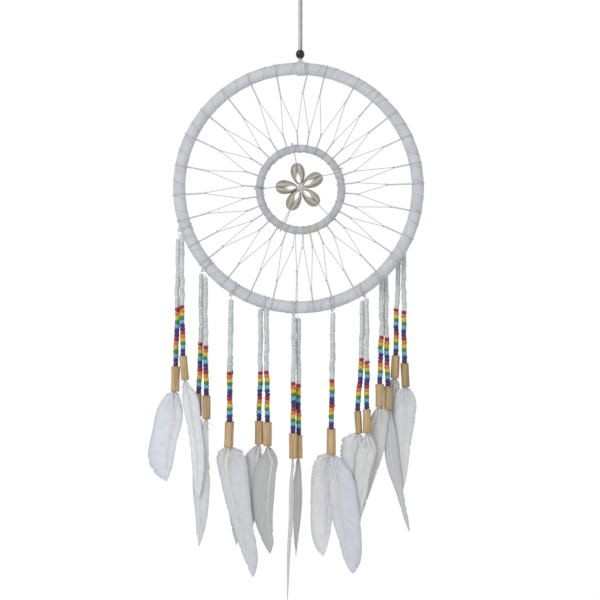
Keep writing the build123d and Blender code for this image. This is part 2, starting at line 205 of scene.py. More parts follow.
def rounded_strip(width, thick, corner=0.35, steps=4):
    """The outline of a flat lace's section, its corners rounded, as (side, lift) pairs."""
    radius = min(width, thick) * corner
    outline = []
    for turn, (sx, sy) in enumerate(((1, 1), (-1, 1), (-1, -1), (1, -1))):
        for i in range(steps):
            a = (turn + i / (steps - 1)) * math.pi / 2
            outline.append((sx * (width / 2 - radius) + radius * math.cos(a),
                            sy * (thick / 2 - radius) + radius * math.sin(a)))
    return outline


def swept(points, outline, scale=None, closed=False):
    """An outline carried along a path, its size changed by scale at each point."""
    points = np.asarray(points, float)
    _, sides, lifts = carried(points, closed)
    scale = np.ones(len(points)) if scale is None else np.asarray(scale, float)
    outline = np.asarray(outline, float)
    rings = (points[:, None] + sides[:, None] * (outline[None, :, 0:1] * scale[:, None, None])
             + lifts[:, None] * (outline[None, :, 1:2] * scale[:, None, None]))
    return closed_rings(rings, closed)


def circle(radius, steps):
    return [(radius * math.cos(i * math.tau / steps), radius * math.sin(i * math.tau / steps))
            for i in range(steps)]


def revolved(profile, top, bottom, around=24, wobble=None):
    """A closed profile of (radius, share of the way down) turned about the line from top to bottom."""
    top, bottom = Vector(top), Vector(bottom)
    turn = (bottom - top).to_track_quat("Z", "Y").to_matrix()
    length = (bottom - top).length
    rings = []
    for i in range(around):
        a = i * math.tau / around
        ring = []
        for radius, share in profile:
            r = radius * (1 + wobble(a, share)) if wobble else radius
            ring.append(top + turn @ Vector((r * math.cos(a), r * math.sin(a), share * length)))
        rings.append(ring)
    return closed_rings(rings, True)


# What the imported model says
def points_of(mesh):
    """A mesh's points as rows of x, y and z."""
    points = np.empty(len(mesh.vertices) * 3)
    mesh.vertices.foreach_get("co", points)
    return points.reshape(-1, 3)


def solids_of(name):
    """The separate solids of a CAD node, each as its points and its triangles."""
    mesh = frame["nodes"][name].data
    points = points_of(mesh)
    mesh.calc_loop_triangles()
    triangles = np.empty(len(mesh.loop_triangles) * 3, np.int64)
    mesh.loop_triangles.foreach_get("vertices", triangles)
    grid = np.round(points / (0.001 * MM)).astype(np.int64)
    grid -= grid.min(axis=0)
    span = grid.max(axis=0) + 1
    keys = (grid[:, 0] * span[1] + grid[:, 1]) * span[2] + grid[:, 2]
    _, first, index = np.unique(keys, return_index=True, return_inverse=True)
    points, triangles = points[first], index[triangles].reshape(-1, 3)
    ends = np.concatenate([triangles[:, [0, 1]], triangles[:, [1, 2]]])
    label = np.arange(len(points))
    while True:
        low = np.minimum(label[ends[:, 0]], label[ends[:, 1]])
        new = label.copy()
        np.minimum.at(new, ends[:, 0], low)
        np.minimum.at(new, ends[:, 1], low)
        new = new[new]
        if (new == label).all():
            break
        label = new
    found = []
    for one in np.unique(label):
        mine = np.flatnonzero(label == one)
        renumbered = np.full(len(points), -1)
        renumbered[mine] = np.arange(len(mine))
        found.append((points[mine], renumbered[triangles[label[triangles[:, 0]] == one]]))
    return found


def hoop_sizes(node):
    """Centre x and z, ring radius and rim radius of a wrapped hoop."""
    low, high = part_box(node)
    rim = (high[1] - low[1]) / 2
    return (low[0] + high[0]) / 2, (low[2] + high[2]) / 2, (high[0] - low[0]) / 2 - rim, rim


HOOP_X, HOOP_Z, HOOP_RADIUS, HOOP_RIM = hoop_sizes("outer_hoop_wrap")
INNER_X, INNER_Z, INNER_RADIUS, INNER_RIM = hoop_sizes("inner_hoop_wrap")
hub_low, hub_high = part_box("flower_hub")
FLOWER_X, FLOWER_Z = (hub_low[0] + hub_high[0]) / 2, (hub_low[2] + hub_high[2]) / 2
HUB_RADIUS = (hub_high[0] - hub_low[0]) / 2


def on_ring(degrees, radius, x, z, y=0.0):
    """A point at an angle clockwise from the top of a ring, seen from the front."""
    a = math.radians(degrees)
    return Vector((x + radius * math.sin(a), y, z + radius * math.cos(a)))


def degrees_round(point, x, z):
    return math.degrees(math.atan2(point[0] - x, point[2] - z)) % 360


# Materials
def material(name, **plain):
    """A material's tree, its shader with the plain sockets set, and its object coordinates."""
    made = bpy.data.materials.new(name)
    made.use_nodes = True
    tree = made.node_tree
    shader = tree.nodes["Principled BSDF"]
    for socket, value in plain.items():
        shader.inputs[socket.replace("_", " ")].default_value = value
    place = add(tree, "ShaderNodeTexCoord").outputs["Object"]
    return made, tree, shader, place


def speckle(tree, place, size, low=0.35, high=0.65, detail=3.0, most=1.0):
    """A pattern of patches about a real size in metres, from 0 to most."""
    cloud = add(tree, "ShaderNodeTexNoise", {"Vector": place, "Scale": 1 / size, "Detail": detail})
    return add(tree, "ShaderNodeMapRange", {0: cloud.outputs["Fac"], 1: low, 2: high, 4: most}).outputs[0]


def layered(tree, shader, colour, layers, height, depth, strength):
    """Colours laid over one another by their shares, and a height pattern raised to a depth in metres."""
    colour = linear(colour) if isinstance(colour, str) else colour
    for share, over in layers:
        blend = add(tree, "ShaderNodeMix", {0: share, 6: colour, 7: linear(over)}, data_type="RGBA")
        colour = blend.outputs[2]
    tree.links.new(colour, shader.inputs["Base Color"])
    relief = add(tree, "ShaderNodeBump", {"Height": height, "Distance": depth, "Strength": strength})
    tree.links.new(relief.outputs["Normal"], shader.inputs["Normal"])


def cotton_tape(name, light, shade, stain, stained):
    # Woven cotton tape wound under tension: matt, with a faint weave, painted shade along the lap at each
    # turn and one yellowed stretch. The 0.3 mm weave is drawn at 0.6 mm so that it shows.
    made, tree, shader, place = material(name, Roughness=0.86, Sheen_Weight=0.25, Sheen_Roughness=0.5)
    strip = add(tree, "ShaderNodeSeparateXYZ", {0: add(tree, "ShaderNodeUVMap", uv_map="tape").outputs[0]})
    wrinkle = speckle(tree, place, 2.2 * MM, detail=5.0)
    # Painted shade: the last stretch of each turn's width is darkened where the next turn laps over it
    lap_shade = add(tree, "ShaderNodeMapRange", {0: strip.outputs[1], 1: 0.92, 2: 1.0, 4: 0.6}).outputs[0]
    away = add(tree, "ShaderNodeVectorMath", {0: place, 1: stain}, operation="DISTANCE").outputs["Value"]
    near = add(tree, "ShaderNodeMapRange", {0: away, 1: 13 * MM, 2: 3 * MM, 4: stained}).outputs[0]
    patchy = add(tree, "ShaderNodeMath", {0: near, 1: wrinkle}, operation="MULTIPLY").outputs[0]
    along = add(tree, "ShaderNodeMath", {0: strip.outputs[0], 1: math.tau / (0.6 * MM)}, operation="MULTIPLY")
    threads = add(tree, "ShaderNodeMath", {0: along.outputs[0]}, operation="SINE").outputs[0]
    cloth = add(tree, "ShaderNodeMath", {0: threads, 1: 0.12, 2: wrinkle}, operation="MULTIPLY_ADD")
    layered(tree, shader, shade, [(speckle(tree, place, 9 * MM), light), (lap_shade, "b2b4ba"), (patchy, "cfc7a8")],
            cloth.outputs[0], 0.25 * MM, 0.8)
    return made


def twisted_thread(name, light, shade, roughness):
    # Waxed polyester thread, two plies twisted: soft satin, slightly uneven in its dye.
    made, tree, shader, place = material(name, Roughness=roughness, Sheen_Weight=0.15)
    fine = speckle(tree, place, 1.6 * MM)
    layered(tree, shader, light, [(fine, shade)], fine, 0.06 * MM, 0.6)
    return made


def suede(name, light, shade):
    # Split-leather lace: napped faces with a short brushed pile, darker where the nap lies over.
    made, tree, shader, place = material(name, Roughness=0.95, Sheen_Weight=0.5, Sheen_Roughness=0.35)
    nap = speckle(tree, place, 0.9 * MM, detail=6.0)
    brushed = speckle(tree, place, 7 * MM, 0.3, 0.7)
    layered(tree, shader, light, [(nap, shade), (brushed, light)], nap, 0.12 * MM, 0.7)
    return made


def cowrie_glaze():
    # Money cowrie: naturally glazed shell, cream lips that turn tan over the shoulder, fine blotches.
    made, tree, shader, place = material("polished_cowrie", Roughness=0.28, IOR=1.55, Coat_Weight=0.35,
                                         Coat_Roughness=0.12)
    shoulder = add(tree, "ShaderNodeAttribute", attribute_name="shoulder").outputs["Fac"]
    lips = add(tree, "ShaderNodeMapRange", {0: shoulder, 1: 0.15, 2: 0.75, 3: 1.0, 4: 0.0}).outputs[0]
    layered(tree, shader, "b3a692", [(speckle(tree, place, 3.0 * MM), "9a8d7a"), (lips, "d6cfc4")],
            speckle(tree, place, 0.7 * MM), 0.03 * MM, 0.4)
    return made


def seed_bead_glass():
    # Opaque glass seed beads: each its own colour, fire-polished, slightly mottled.
    made, tree, shader, place = material("opaque_glass_bead", Roughness=0.28, IOR=1.52, Coat_Weight=0.12,
                                         Coat_Roughness=0.1)
    tint = add(tree, "ShaderNodeAttribute", attribute_name="tint").outputs["Color"]
    mottle = speckle(tree, place, 1.8 * MM, most=0.2)
    layered(tree, shader, tint, [(mottle, "30343c")], mottle, 0.03 * MM, 0.4)
    return made


def bamboo():
    # Cut bamboo: straw-coloured skin with fine lengthwise fibres, a few darker streaks, and a sheen;
    # browner on some tubes and darker at the cut ends, with painted shade in the bore.
    made, tree, shader, place = material("lacquered_bamboo", Roughness=0.42, Coat_Weight=0.2,
                                         Coat_Roughness=0.3)
    fibres = add(tree, "ShaderNodeMapping", {0: place, 3: (1.0, 1.0, 0.06)}).outputs[0]
    fine = speckle(tree, fibres, 0.6 * MM, detail=4.0)
    brown = add(tree, "ShaderNodeAttribute", attribute_name="brown").outputs["Fac"]
    layered(tree, shader, "e2c697", [(fine, "d0b07e"), (speckle(tree, fibres, 2.6 * MM, 0.4, 0.7), "b18f5c"),
                                     (brown, "6a4c28")], fine, 0.06 * MM, 0.6)
    return made


def feather_vane():
    # Bleached goose feather: dry barbs, blue-white, each feather a little warmer or greyer than the
    # next, creamier beside the quill, greyer along the edge and along some barbs, with painted shade in the
    # folds.
    made, tree, shader, place = material("bleached_feather_vane", Roughness=0.72, Sheen_Weight=0.35,
                                         Sheen_Roughness=0.4)
    tint = add(tree, "ShaderNodeAttribute", attribute_name="tint").outputs["Color"]
    outward = add(tree, "ShaderNodeAttribute", attribute_name="outward").outputs["Fac"]
    root = add(tree, "ShaderNodeMapRange", {0: outward, 1: 0.25, 2: 0.0, 4: 0.35}).outputs[0]
    folded = add(tree, "ShaderNodeAttribute", attribute_name="folded").outputs["Fac"]
    layered(tree, shader, tint, [(speckle(tree, place, 6 * MM, most=0.14), "b4b6ba"), (root, "c9c5b4"),
                                 (folded, "85878a")], speckle(tree, place, 0.8 * MM), 0.03 * MM, 0.3)
    return made


def feather_quill():
    # Horn-like feather shaft: cream and smooth, with faint lengthwise streaks.
    made, tree, shader, place = material("cream_quill", Roughness=0.38, IOR=1.54)
    streak = add(tree, "ShaderNodeMapping", {0: place, 3: (1.0, 1.0, 0.1)}).outputs[0]
    fine = speckle(tree, streak, 1.2 * MM)
    layered(tree, shader, "f5f3ec", [(fine, "e9e4d6")], fine, 0.04 * MM, 0.5)
    return made


def black_glass():
    # Pressed black glass pony bead, glossy, with light wear.
    made, tree, shader, place = material("black_glass_bead", Roughness=0.12, IOR=1.52, Coat_Weight=0.3,
                                         Coat_Roughness=0.05)
    worn = speckle(tree, place, 1.5 * MM, 0.55, 0.8)
    layered(tree, shader, "060607", [(worn, "141518")], worn, 0.03 * MM, 0.4)
    return made


def cane():
    # Peeled cane: straw-coloured, with lengthwise pores.
    made, tree, shader, place = material("peeled_cane", Roughness=0.6)
    grain = speckle(tree, place, 1.2 * MM)
    layered(tree, shader, "c8ab7b", [(grain, "a88755")], grain, 0.1 * MM, 0.6)
    return made


OUTER_STAIN = on_ring(142.8, HOOP_RADIUS, HOOP_X, HOOP_Z, -HOOP_RIM)
INNER_STAIN = on_ring(161, INNER_RADIUS, INNER_X, INNER_Z, -INNER_RIM)
OUTER_TAPE = cotton_tape("cotton_tape_outer", "dfe0e2", "d1d3d6", OUTER_STAIN, 0.45)
INNER_TAPE = cotton_tape("cotton_tape_inner", "ced1d4", "bec2c6", INNER_STAIN, 1.0)
WEB_THREAD = twisted_thread("white_web_thread", "e0e0e1", "cbcccd", 0.55)
STRAND_THREAD = twisted_thread("white_bead_thread", "f0f0ef", "e0e1e0", 0.6)
TAN_THREAD = twisted_thread("tan_waxed_thread", "b7a78c", "94846a", 0.5)
SINGED = twisted_thread("singed_thread_end", "6b5a4a", "3b3029", 0.5)
LACE_SUEDE = suede("pale_suede_lace", "dadbde", "c6c8cc")
# Painted shade: the same pale suede made darker for the right leg, for the shadow the left leg casts on it
LACE_PAINTED_SHADE = suede("shaded_suede_lace", "a7a9b0", "83858b")
COWRIE = cowrie_glaze()
BEAD_GLASS = seed_bead_glass()
BAMBOO = bamboo()
VANE = feather_vane()
QUILL = feather_quill()
BLACK_BEAD = black_glass()
CANE = cane()


# Node trees: twisted thread along routes, beads on a strand, barbs along a quill
def tree_of(name, inputs):
    """A node tree from geometry to geometry, with its other inputs by name, and what it takes in."""
    tree = bpy.data.node_groups.new(name, "GeometryNodeTree")
    tree.interface.new_socket("Geometry", in_out="INPUT", socket_type="NodeSocketGeometry")
    for label, kind in inputs.items():
        tree.interface.new_socket(label, in_out="INPUT", socket_type="NodeSocket" + kind)
    tree.interface.new_socket("Geometry", in_out="OUTPUT", socket_type="NodeSocketGeometry")
    return tree, add(tree, "NodeGroupInput").outputs


def finished(tree, geometry, finish, rounded=True):
    """The tree's end: real geometry, shaded smooth where it is rounded, with its material."""
    real = add(tree, "GeometryNodeRealizeInstances", {0: geometry}).outputs[0]
    smooth = add(tree, "GeometryNodeSetShadeSmooth", {"Geometry": real, "Shade Smooth": rounded}).outputs[0]
    painted = add(tree, "GeometryNodeSetMaterial", {0: smooth, "Material": finish}).outputs[0]
    add(tree, "NodeGroupOutput", {0: painted})
    return tree


def thread_tree():
    """Two plies twisted round each route."""
    tree, taken = tree_of("twisted thread", {"Ply Radius": "Float", "Twist Length": "Float",
                                             "Step": "Float", "Material": "Material"})
    route = add(tree, "GeometryNodeMeshToCurve", {0: taken["Geometry"]}).outputs[0]
    route = add(tree, "GeometryNodeResampleCurve", {"Curve": route, "Length": taken["Step"]},
                mode="LENGTH").outputs[0]
    length = add(tree, "GeometryNodeSplineParameter").outputs["Length"]
    turns = add(tree, "ShaderNodeMath", {0: length, 1: taken["Twist Length"]}, operation="DIVIDE")
    side = add(tree, "GeometryNodeInputNormal").outputs[0]
    tangent = add(tree, "GeometryNodeInputTangent").outputs[0]
    lift = add(tree, "ShaderNodeVectorMath", {0: tangent, 1: side}, operation="CROSS_PRODUCT").outputs[0]
    section = add(tree, "GeometryNodeCurvePrimitiveCircle", {"Resolution": 5, "Radius": taken["Ply Radius"]})
    plies = []
    for start in (0.0, math.pi):
        angle = add(tree, "ShaderNodeMath", {0: turns.outputs[0], 1: math.tau, 2: start},
                    operation="MULTIPLY_ADD").outputs[0]
        offset = None
        for direction, wave in ((side, "COSINE"), (lift, "SINE")):
            share = add(tree, "ShaderNodeMath", {0: angle}, operation=wave).outputs[0]
            reach = add(tree, "ShaderNodeMath", {0: share, 1: taken["Ply Radius"]}, operation="MULTIPLY")
            part = add(tree, "ShaderNodeVectorMath", {0: direction, "Scale": reach.outputs[0]},
                       operation="SCALE").outputs[0]
            offset = part if offset is None else add(
                tree, "ShaderNodeVectorMath", {0: offset, 1: part}, operation="ADD").outputs[0]
        ply = add(tree, "GeometryNodeSetPosition", {"Geometry": route, "Offset": offset}).outputs[0]
        plies.append(add(tree, "GeometryNodeCurveToMesh", {"Curve": ply, "Profile Curve": section.outputs[0],
                                                           "Fill Caps": True}).outputs[0])
    both = add(tree, "GeometryNodeJoinGeometry", {0: plies}).outputs[0]
    return finished(tree, both, taken["Material"])


def bead_tree():
    """A bead on each point, turned to its aim and slightly uneven in tilt and size."""
    tree, taken = tree_of("strung beads", {"Bead": "Object", "Tilt": "Vector", "Uneven": "Vector",
                                           "Seed": "Int", "Material": "Material"})
    aim = add(tree, "GeometryNodeInputNamedAttribute", {"Name": "aim"}, data_type="FLOAT_VECTOR").outputs[0]
    size = add(tree, "GeometryNodeInputNamedAttribute", {"Name": "size"}, data_type="FLOAT_VECTOR").outputs[0]
    straight = add(tree, "FunctionNodeAlignRotationToVector", {"Vector": aim}, axis="Z").outputs[0]
    back = add(tree, "ShaderNodeVectorMath", {0: taken["Tilt"], "Scale": -1.0}, operation="SCALE").outputs[0]
    tilt = add(tree, "FunctionNodeRandomValue", {0: back, 1: taken["Tilt"], "Seed": taken["Seed"]},
               data_type="FLOAT_VECTOR").outputs[0]
    tilt = add(tree, "FunctionNodeEulerToRotation", {0: tilt}).outputs[0]
    turned = add(tree, "FunctionNodeRotateRotation", {0: straight, 1: tilt}, rotation_space="LOCAL")
    least = add(tree, "ShaderNodeVectorMath", {0: (1, 1, 1), 1: taken["Uneven"]}, operation="SUBTRACT")
    most = add(tree, "ShaderNodeVectorMath", {0: (1, 1, 1), 1: taken["Uneven"]}, operation="ADD")
    index = add(tree, "GeometryNodeInputIndex").outputs[0]
    uneven = add(tree, "FunctionNodeRandomValue", {0: least.outputs[0], 1: most.outputs[0], "ID": index,
                                                   "Seed": taken["Seed"]}, data_type="FLOAT_VECTOR")
    girth = add(tree, "ShaderNodeVectorMath", {0: size, 1: uneven.outputs[0]}, operation="MULTIPLY")
    shape = add(tree, "GeometryNodeObjectInfo", {"Object": taken["Bead"]}).outputs["Geometry"]
    strung = add(tree, "GeometryNodeInstanceOnPoints", {"Points": taken["Geometry"], "Instance": shape,
                                                        "Rotation": turned.outputs[0],
                                                        "Scale": girth.outputs[0]}).outputs[0]
    return finished(tree, strung, taken["Material"])


def barb_tree():
    """A flat tapered barb along each route, lifted from the vane's plane where its points say so."""
    tree, taken = tree_of("feather barbs", {"Flatness": "Float", "Material": "Material"})
    width = add(tree, "GeometryNodeInputNamedAttribute", {"Name": "width"}, data_type="FLOAT").outputs[0]
    lift = add(tree, "GeometryNodeInputNamedAttribute", {"Name": "lift"}, data_type="FLOAT").outputs[0]
    route = add(tree, "GeometryNodeMeshToCurve", {0: taken["Geometry"]}).outputs[0]
    section = add(tree, "GeometryNodeCurvePrimitiveCircle", {"Resolution": 4, "Radius": 1.0}).outputs[0]
    skin = add(tree, "GeometryNodeCurveToMesh", {"Curve": route, "Profile Curve": section, "Scale": width,
                                                 "Fill Caps": True}).outputs[0]
    place = add(tree, "GeometryNodeInputPosition").outputs[0]
    squeeze = add(tree, "ShaderNodeCombineXYZ", {0: 1.0, 1: taken["Flatness"], 2: 1.0}).outputs[0]
    flat = add(tree, "ShaderNodeVectorMath", {0: place, 1: squeeze}, operation="MULTIPLY").outputs[0]
    off = add(tree, "ShaderNodeCombineXYZ", {1: lift}).outputs[0]
    pressed = add(tree, "GeometryNodeSetPosition", {"Geometry": skin, "Position": flat, "Offset": off})
    return finished(tree, pressed.outputs[0], taken["Material"], False)


THREAD_TREE, BEAD_TREE, BARB_TREE = thread_tree(), bead_tree(), barb_tree()


def grown(name, routes, tree, inputs, closed=False, **attributes):
    """The plain mesh that a tree grows from routes, or from loose points, with its inputs set by name."""
    points, edges = [], []
    for route in routes:
        start = len(points)
        points += [tuple(p) for p in route]
        edges += [(i, i + 1) for i in range(start, len(points) - 1)]
        if closed:
            edges.append((len(points) - 1, start))
    mesh = bpy.data.meshes.new(name)
    mesh.from_pydata(points, edges, [])
    kinds = {1: ("FLOAT", "value"), 3: ("FLOAT_VECTOR", "vector"), 4: ("FLOAT_COLOR", "color")}
    for label, values in attributes.items():
        values = np.asarray(values, np.float32)
        kind, field = kinds[1 if values.ndim == 1 else values.shape[1]]
        mesh.attributes.new(label, kind, "POINT").data.foreach_set(field, values.ravel())
    made = linked(name, mesh)
    modifier = made.modifiers.new("grow", "NODES")
    modifier.node_group = tree
    for item in tree.interface.items_tree:
        if item.in_out == "INPUT" and item.name in inputs:
            modifier[item.identifier] = inputs[item.name]
    bpy.context.view_layer.update()
    real = bpy.data.meshes.new_from_object(made.evaluated_get(bpy.context.evaluated_depsgraph_get()))
    made.modifiers.clear()
    made.data = real
    real.name = name
    return made


def thread(name, routes, finish, radius, closed=False, step=0.6 * MM, twist=3.0 * MM):
    """Twisted thread of a whole radius along routes."""
    return grown(name, routes, THREAD_TREE, {"Ply Radius": radius / 2, "Twist Length": twist, "Step": step,
                                             "Material": finish}, closed)


# The hanging lace, its knot, its bead and its hitch
LACE_WIDTH, LACE_THICK = 2.45 * MM, 1.3 * MM
LACE_LEFT = [(-0.62, -82.3), (-0.62, -37), (-0.62, -24), (-5.6, -12), (-2.6, -2), (-1.6, 3.7)]
LACE_RIGHT = [(1.26, -82.3), (1.26, -37), (1.26, -24), (5.8, -12), (2.4, -2), (1.0, 3.7)]


def smooth_route(points):
    """A smooth line through a route's control points, in metres."""
    curve = bpy.data.curves.new("route", "CURVE")
    curve.dimensions = "3D"
    spline = curve.splines.new("NURBS")
    spline.points.add(len(points) - 1)
    for point, (x, z) in zip(spline.points, points):
        point.co = (x * MM, 0, z * MM, 1)
    spline.order_u = 3
    spline.use_endpoint_u = True
    spline.resolution_u = 12
    holder = linked("route", curve)
    bpy.context.view_layer.update()
    mesh = bpy.data.meshes.new_from_object(holder.evaluated_get(bpy.context.evaluated_depsgraph_get()))
    line = np.array([v.co for v in mesh.vertices])
    bpy.data.objects.remove(holder)
    return line


def lace_leg(name, points, finish, width, thick):
    line = smooth_route(points)
    made = solid(name, swept(line, rounded_strip(width, thick)), finish, 50)
    return line, made


left_line, left_leg = lace_leg("lace_left_leg", LACE_LEFT, LACE_SUEDE, LACE_WIDTH, LACE_THICK)
# The right leg takes the darker suede copy: painted shade
right_line, right_leg = lace_leg("lace_right_leg", LACE_RIGHT, LACE_PAINTED_SHADE, LACE_THICK, LACE_WIDTH)
fit(left_leg, "root", "suede_lace", "hanging_lace")
fit(right_leg, "root", "suede_lace", "hanging_lace")


def overhand_knot():
    """A tight overhand knot of both legs, with its two cut tails."""
    low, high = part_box("lace_knot")
    middle = Vector((0, 0, low[2] + 4.2 * MM))
    size = 1.28 * MM
    loop = []
    for i in range(72):
        t = i * math.tau / 72
        loop.append(middle + size * Vector((math.sin(t) + 1.7 * math.sin(2 * t), 0.8 * math.sin(3 * t),
                                            math.cos(t) - 1.7 * math.cos(2 * t))))
    shapes = [swept(loop, rounded_strip(2.6 * MM, 2.0 * MM, 0.45), closed=True)]
    for side, lean in ((-1, -1.4 * MM), (1, 0.9 * MM)):
        tail = [(side * 0.9 * MM, 0, middle.z), (side * 1.2 * MM, 0, middle.z + 4 * MM),
                (side * 1.3 * MM + lean * 0.5, -0.4 * MM, middle.z + 8 * MM),
                (side * 1.3 * MM + lean, -0.3 * MM, high[2])]
        shapes.append(swept(tail, rounded_strip(LACE_WIDTH, LACE_THICK)))
    return joined(shapes)


knot = fit(solid("lace_overhand_knot", overhand_knot(), LACE_SUEDE, 50), "root", "suede_lace", "lace_knot")


def round_bead_profile(radius, bore, bulge, steps=14):
    """A round barrel bead's closed section as (radius, share of its height)."""
    profile = [(bore, 0.1), (bore, 0.9)]
    for i in range(steps + 1):
        a = math.pi / 2 - math.pi * i / steps
        around = math.copysign(abs(math.sin(a)) ** bulge, math.sin(a))
        out = abs(math.cos(a)) ** bulge
        profile.append((bore * 1.15 + (radius - bore * 1.15) * out, 0.5 + 0.5 * around))
    return profile


def cord_bead():
    low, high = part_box("cord_bead")
    x, y = (low[0] + high[0]) / 2, (low[1] + high[1]) / 2
    radius = (high[0] - low[0]) / 2
    half, bore = (high[2] - low[2]) / 2, 2.3 * MM
    flattening = math.sqrt(radius ** 2 - bore ** 2) / half
    profile = [(bore, 0.06), (bore, 0.94)]
    for share in np.linspace(0.985, 0.015, 18):
        off = (share - 0.5) * 2 * half * flattening * 0.985
        profile.append((math.sqrt(radius ** 2 - off ** 2), share))
    return revolved(profile, (x, y, high[2]), (x, y, low[2]), 40)


black_bead = fit(solid("pony_bead", cord_bead(), BLACK_BEAD, 60), "bead", "black_bead", "cord_bead")


def lace_hitch():
    """A lark's head: two turns of lace over the rim, the bar behind them and the legs' short neck."""
    low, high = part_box("lace_hitch")
    rim_top = HOOP_Z + HOOP_RADIUS
    reach = HOOP_RIM + 0.45 * MM
    shapes = []
    for x, width, lean in ((low[0] + 2.2 * MM, 4.1 * MM, 0.1), (high[0] - 1.4 * MM, 2.7 * MM, -0.15)):
        turn = []
        for i in range(48):
            a = i * math.tau / 48
            turn.append((x + lean * MM * math.sin(a), -reach * math.cos(a), rim_top + reach * math.sin(a)))
        shapes.append(swept(turn, rounded_strip(width, 0.8 * MM), closed=True))
    back = [(low[0] + 0.6 * MM + i * (high[0] - low[0] - 1.2 * MM) / 6, reach + 0.8 * MM,
             rim_top + 2.0 * MM + 0.5 * MM * math.sin(i)) for i in range(7)]
    shapes.append(swept(back, rounded_strip(2.3 * MM, 1.0 * MM)))
    neck = rim_top + reach
    neck_left = [(-0.75 * MM, -0.2 * MM, neck - 0.6 * MM), (-0.65 * MM, 0, neck + 0.7 * MM),
                 (-0.62 * MM, 0, high[2])]
    neck_right = [(1.7 * MM, 0.2 * MM, neck - 0.5 * MM), (1.4 * MM, 0.1 * MM, neck + 0.7 * MM),
                  (1.26 * MM, 0, high[2])]
    shapes.append(swept(neck_left, rounded_strip(LACE_WIDTH, LACE_THICK)))
    shapes.append(swept(neck_right, rounded_strip(LACE_THICK, LACE_WIDTH)))
    return joined(shapes)


fit(solid("lace_larks_head", lace_hitch(), LACE_SUEDE, 50), "hitch", "suede_lace", "lace_hitch")


# Cloth tape wound round each hoop: how wide it is for its pitch, how thick, and how high it wrinkles
TAPE_LAP, TAPE_THICK, TAPE_WRINKLE = 1.45, 0.3 * MM, 0.16 * MM


def wound_tape(name, centre_x, centre_z, ring, rim, turns, finish, lift, seed):
    """One strip of tape wound round a rim, each turn lapped over the one before, until it meets itself."""
    steps, across = 30, 5
    pitch = math.tau * ring / turns
    width = pitch * TAPE_LAP
    count = turns * steps
    chance = random.Random(seed)
    shifts = [chance.uniform(-0.16, 0.16) * pitch for _ in range(turns)]
    swells = [chance.uniform(-0.06, 0.06) * MM for _ in range(turns)]
    rings, marks = [], []
    for i in range(count):
        share = i / steps
        turn, part = int(share) % turns, share % 1
        smooth = part * part * (3 - 2 * part)
        shift = shifts[turn] * (1 - smooth) + shifts[(turn + 1) % turns] * smooth
        swell = swells[turn] * (1 - smooth) + swells[(turn + 1) % turns] * smooth
        section = share * math.tau
        outline = []
        for j in range(across * 2):
            outer = j < across
            w = j / (across - 1) if outer else (across * 2 - 1 - j) / (across - 1)
            along = share * pitch + shift + (w - 0.5) * width
            a = along / ring
            spot = Vector((along * 260, math.cos(section) * 1.7, math.sin(section) * 1.7))
            wrinkle = noise.noise(spot) * TAPE_WRINKLE
            lift_here = lift * (w - 1.0) + swell * w + wrinkle
            r = rim - (0 if outer else TAPE_THICK) + lift_here
            out = ring + r * math.cos(section)
            outline.append((centre_x + out * math.sin(a), r * math.sin(section),
                            centre_z + out * math.cos(a)))
            marks.append((share * math.tau * rim, w))
        rings.append(outline)
    points, faces = closed_rings(rings, True)
    mesh = bpy.data.meshes.new(name)
    mesh.from_pydata([tuple(p) for p in points], [], faces)
    layer = mesh.uv_layers.new(name="tape")
    corners = np.empty(len(mesh.loops), np.int64)
    mesh.loops.foreach_get("vertex_index", corners)
    layer.data.foreach_set("uv", np.asarray(marks, np.float32)[corners].ravel())
    mesh.materials.append(finish)
    tidy(mesh, 40)
    return linked(name, mesh)


fit(wound_tape("outer_hoop_tape", HOOP_X, HOOP_Z, HOOP_RADIUS, HOOP_RIM, 52, OUTER_TAPE, 0.34 * MM, 3),
    "hoop", "cotton_tape", "outer_hoop_wrap")
fit(wound_tape("inner_hoop_tape", INNER_X, INNER_Z, INNER_RADIUS, INNER_RIM, 26, INNER_TAPE, 0.5 * MM, 8),
    "hoop", "cotton_tape", "inner_hoop_wrap")
for core in ("outer_hoop_core", "inner_hoop_core"):
    node = frame["nodes"][core]
    node.data.materials.clear()
    node.data.materials.append(CANE)


# The web, and the thicker thread of the spokes
THREAD, SPOKE_THREAD = 0.42 * MM, 0.5 * MM


def turn_round_rim(degrees, x, z, ring, rim, slant=0.0, steps=28):
    """One turn of thread round a rim, leaning along it by slant."""
    reach = rim + 0.4 * MM
    out = on_ring(degrees, 1.0, 0, 0)
    along = Vector((math.cos(math.radians(degrees)), 0, -math.sin(math.radians(degrees))))
    centre = on_ring(degrees, ring, x, z)
    points = []
    for i in range(steps):
        a = i * math.tau / steps
        around = reach * (out * math.cos(a) + FRONT * math.sin(a))
        points.append(centre + around + along * slant * math.cos(a))
    return points


def coil(spot, direction, radius, turns, height, steps=9):
    """A few close turns of thread about a line."""
    side = direction.cross(FRONT).normalized()
    lift = side.cross(direction).normalized()
    points = []
    for i in range(int(turns * steps) + 1):
        a = i * math.tau / steps
        share = i / (turns * steps) - 0.5
        points.append(spot + direction * share * height + radius * (side * math.cos(a) + lift * math.sin(a)))
    return points


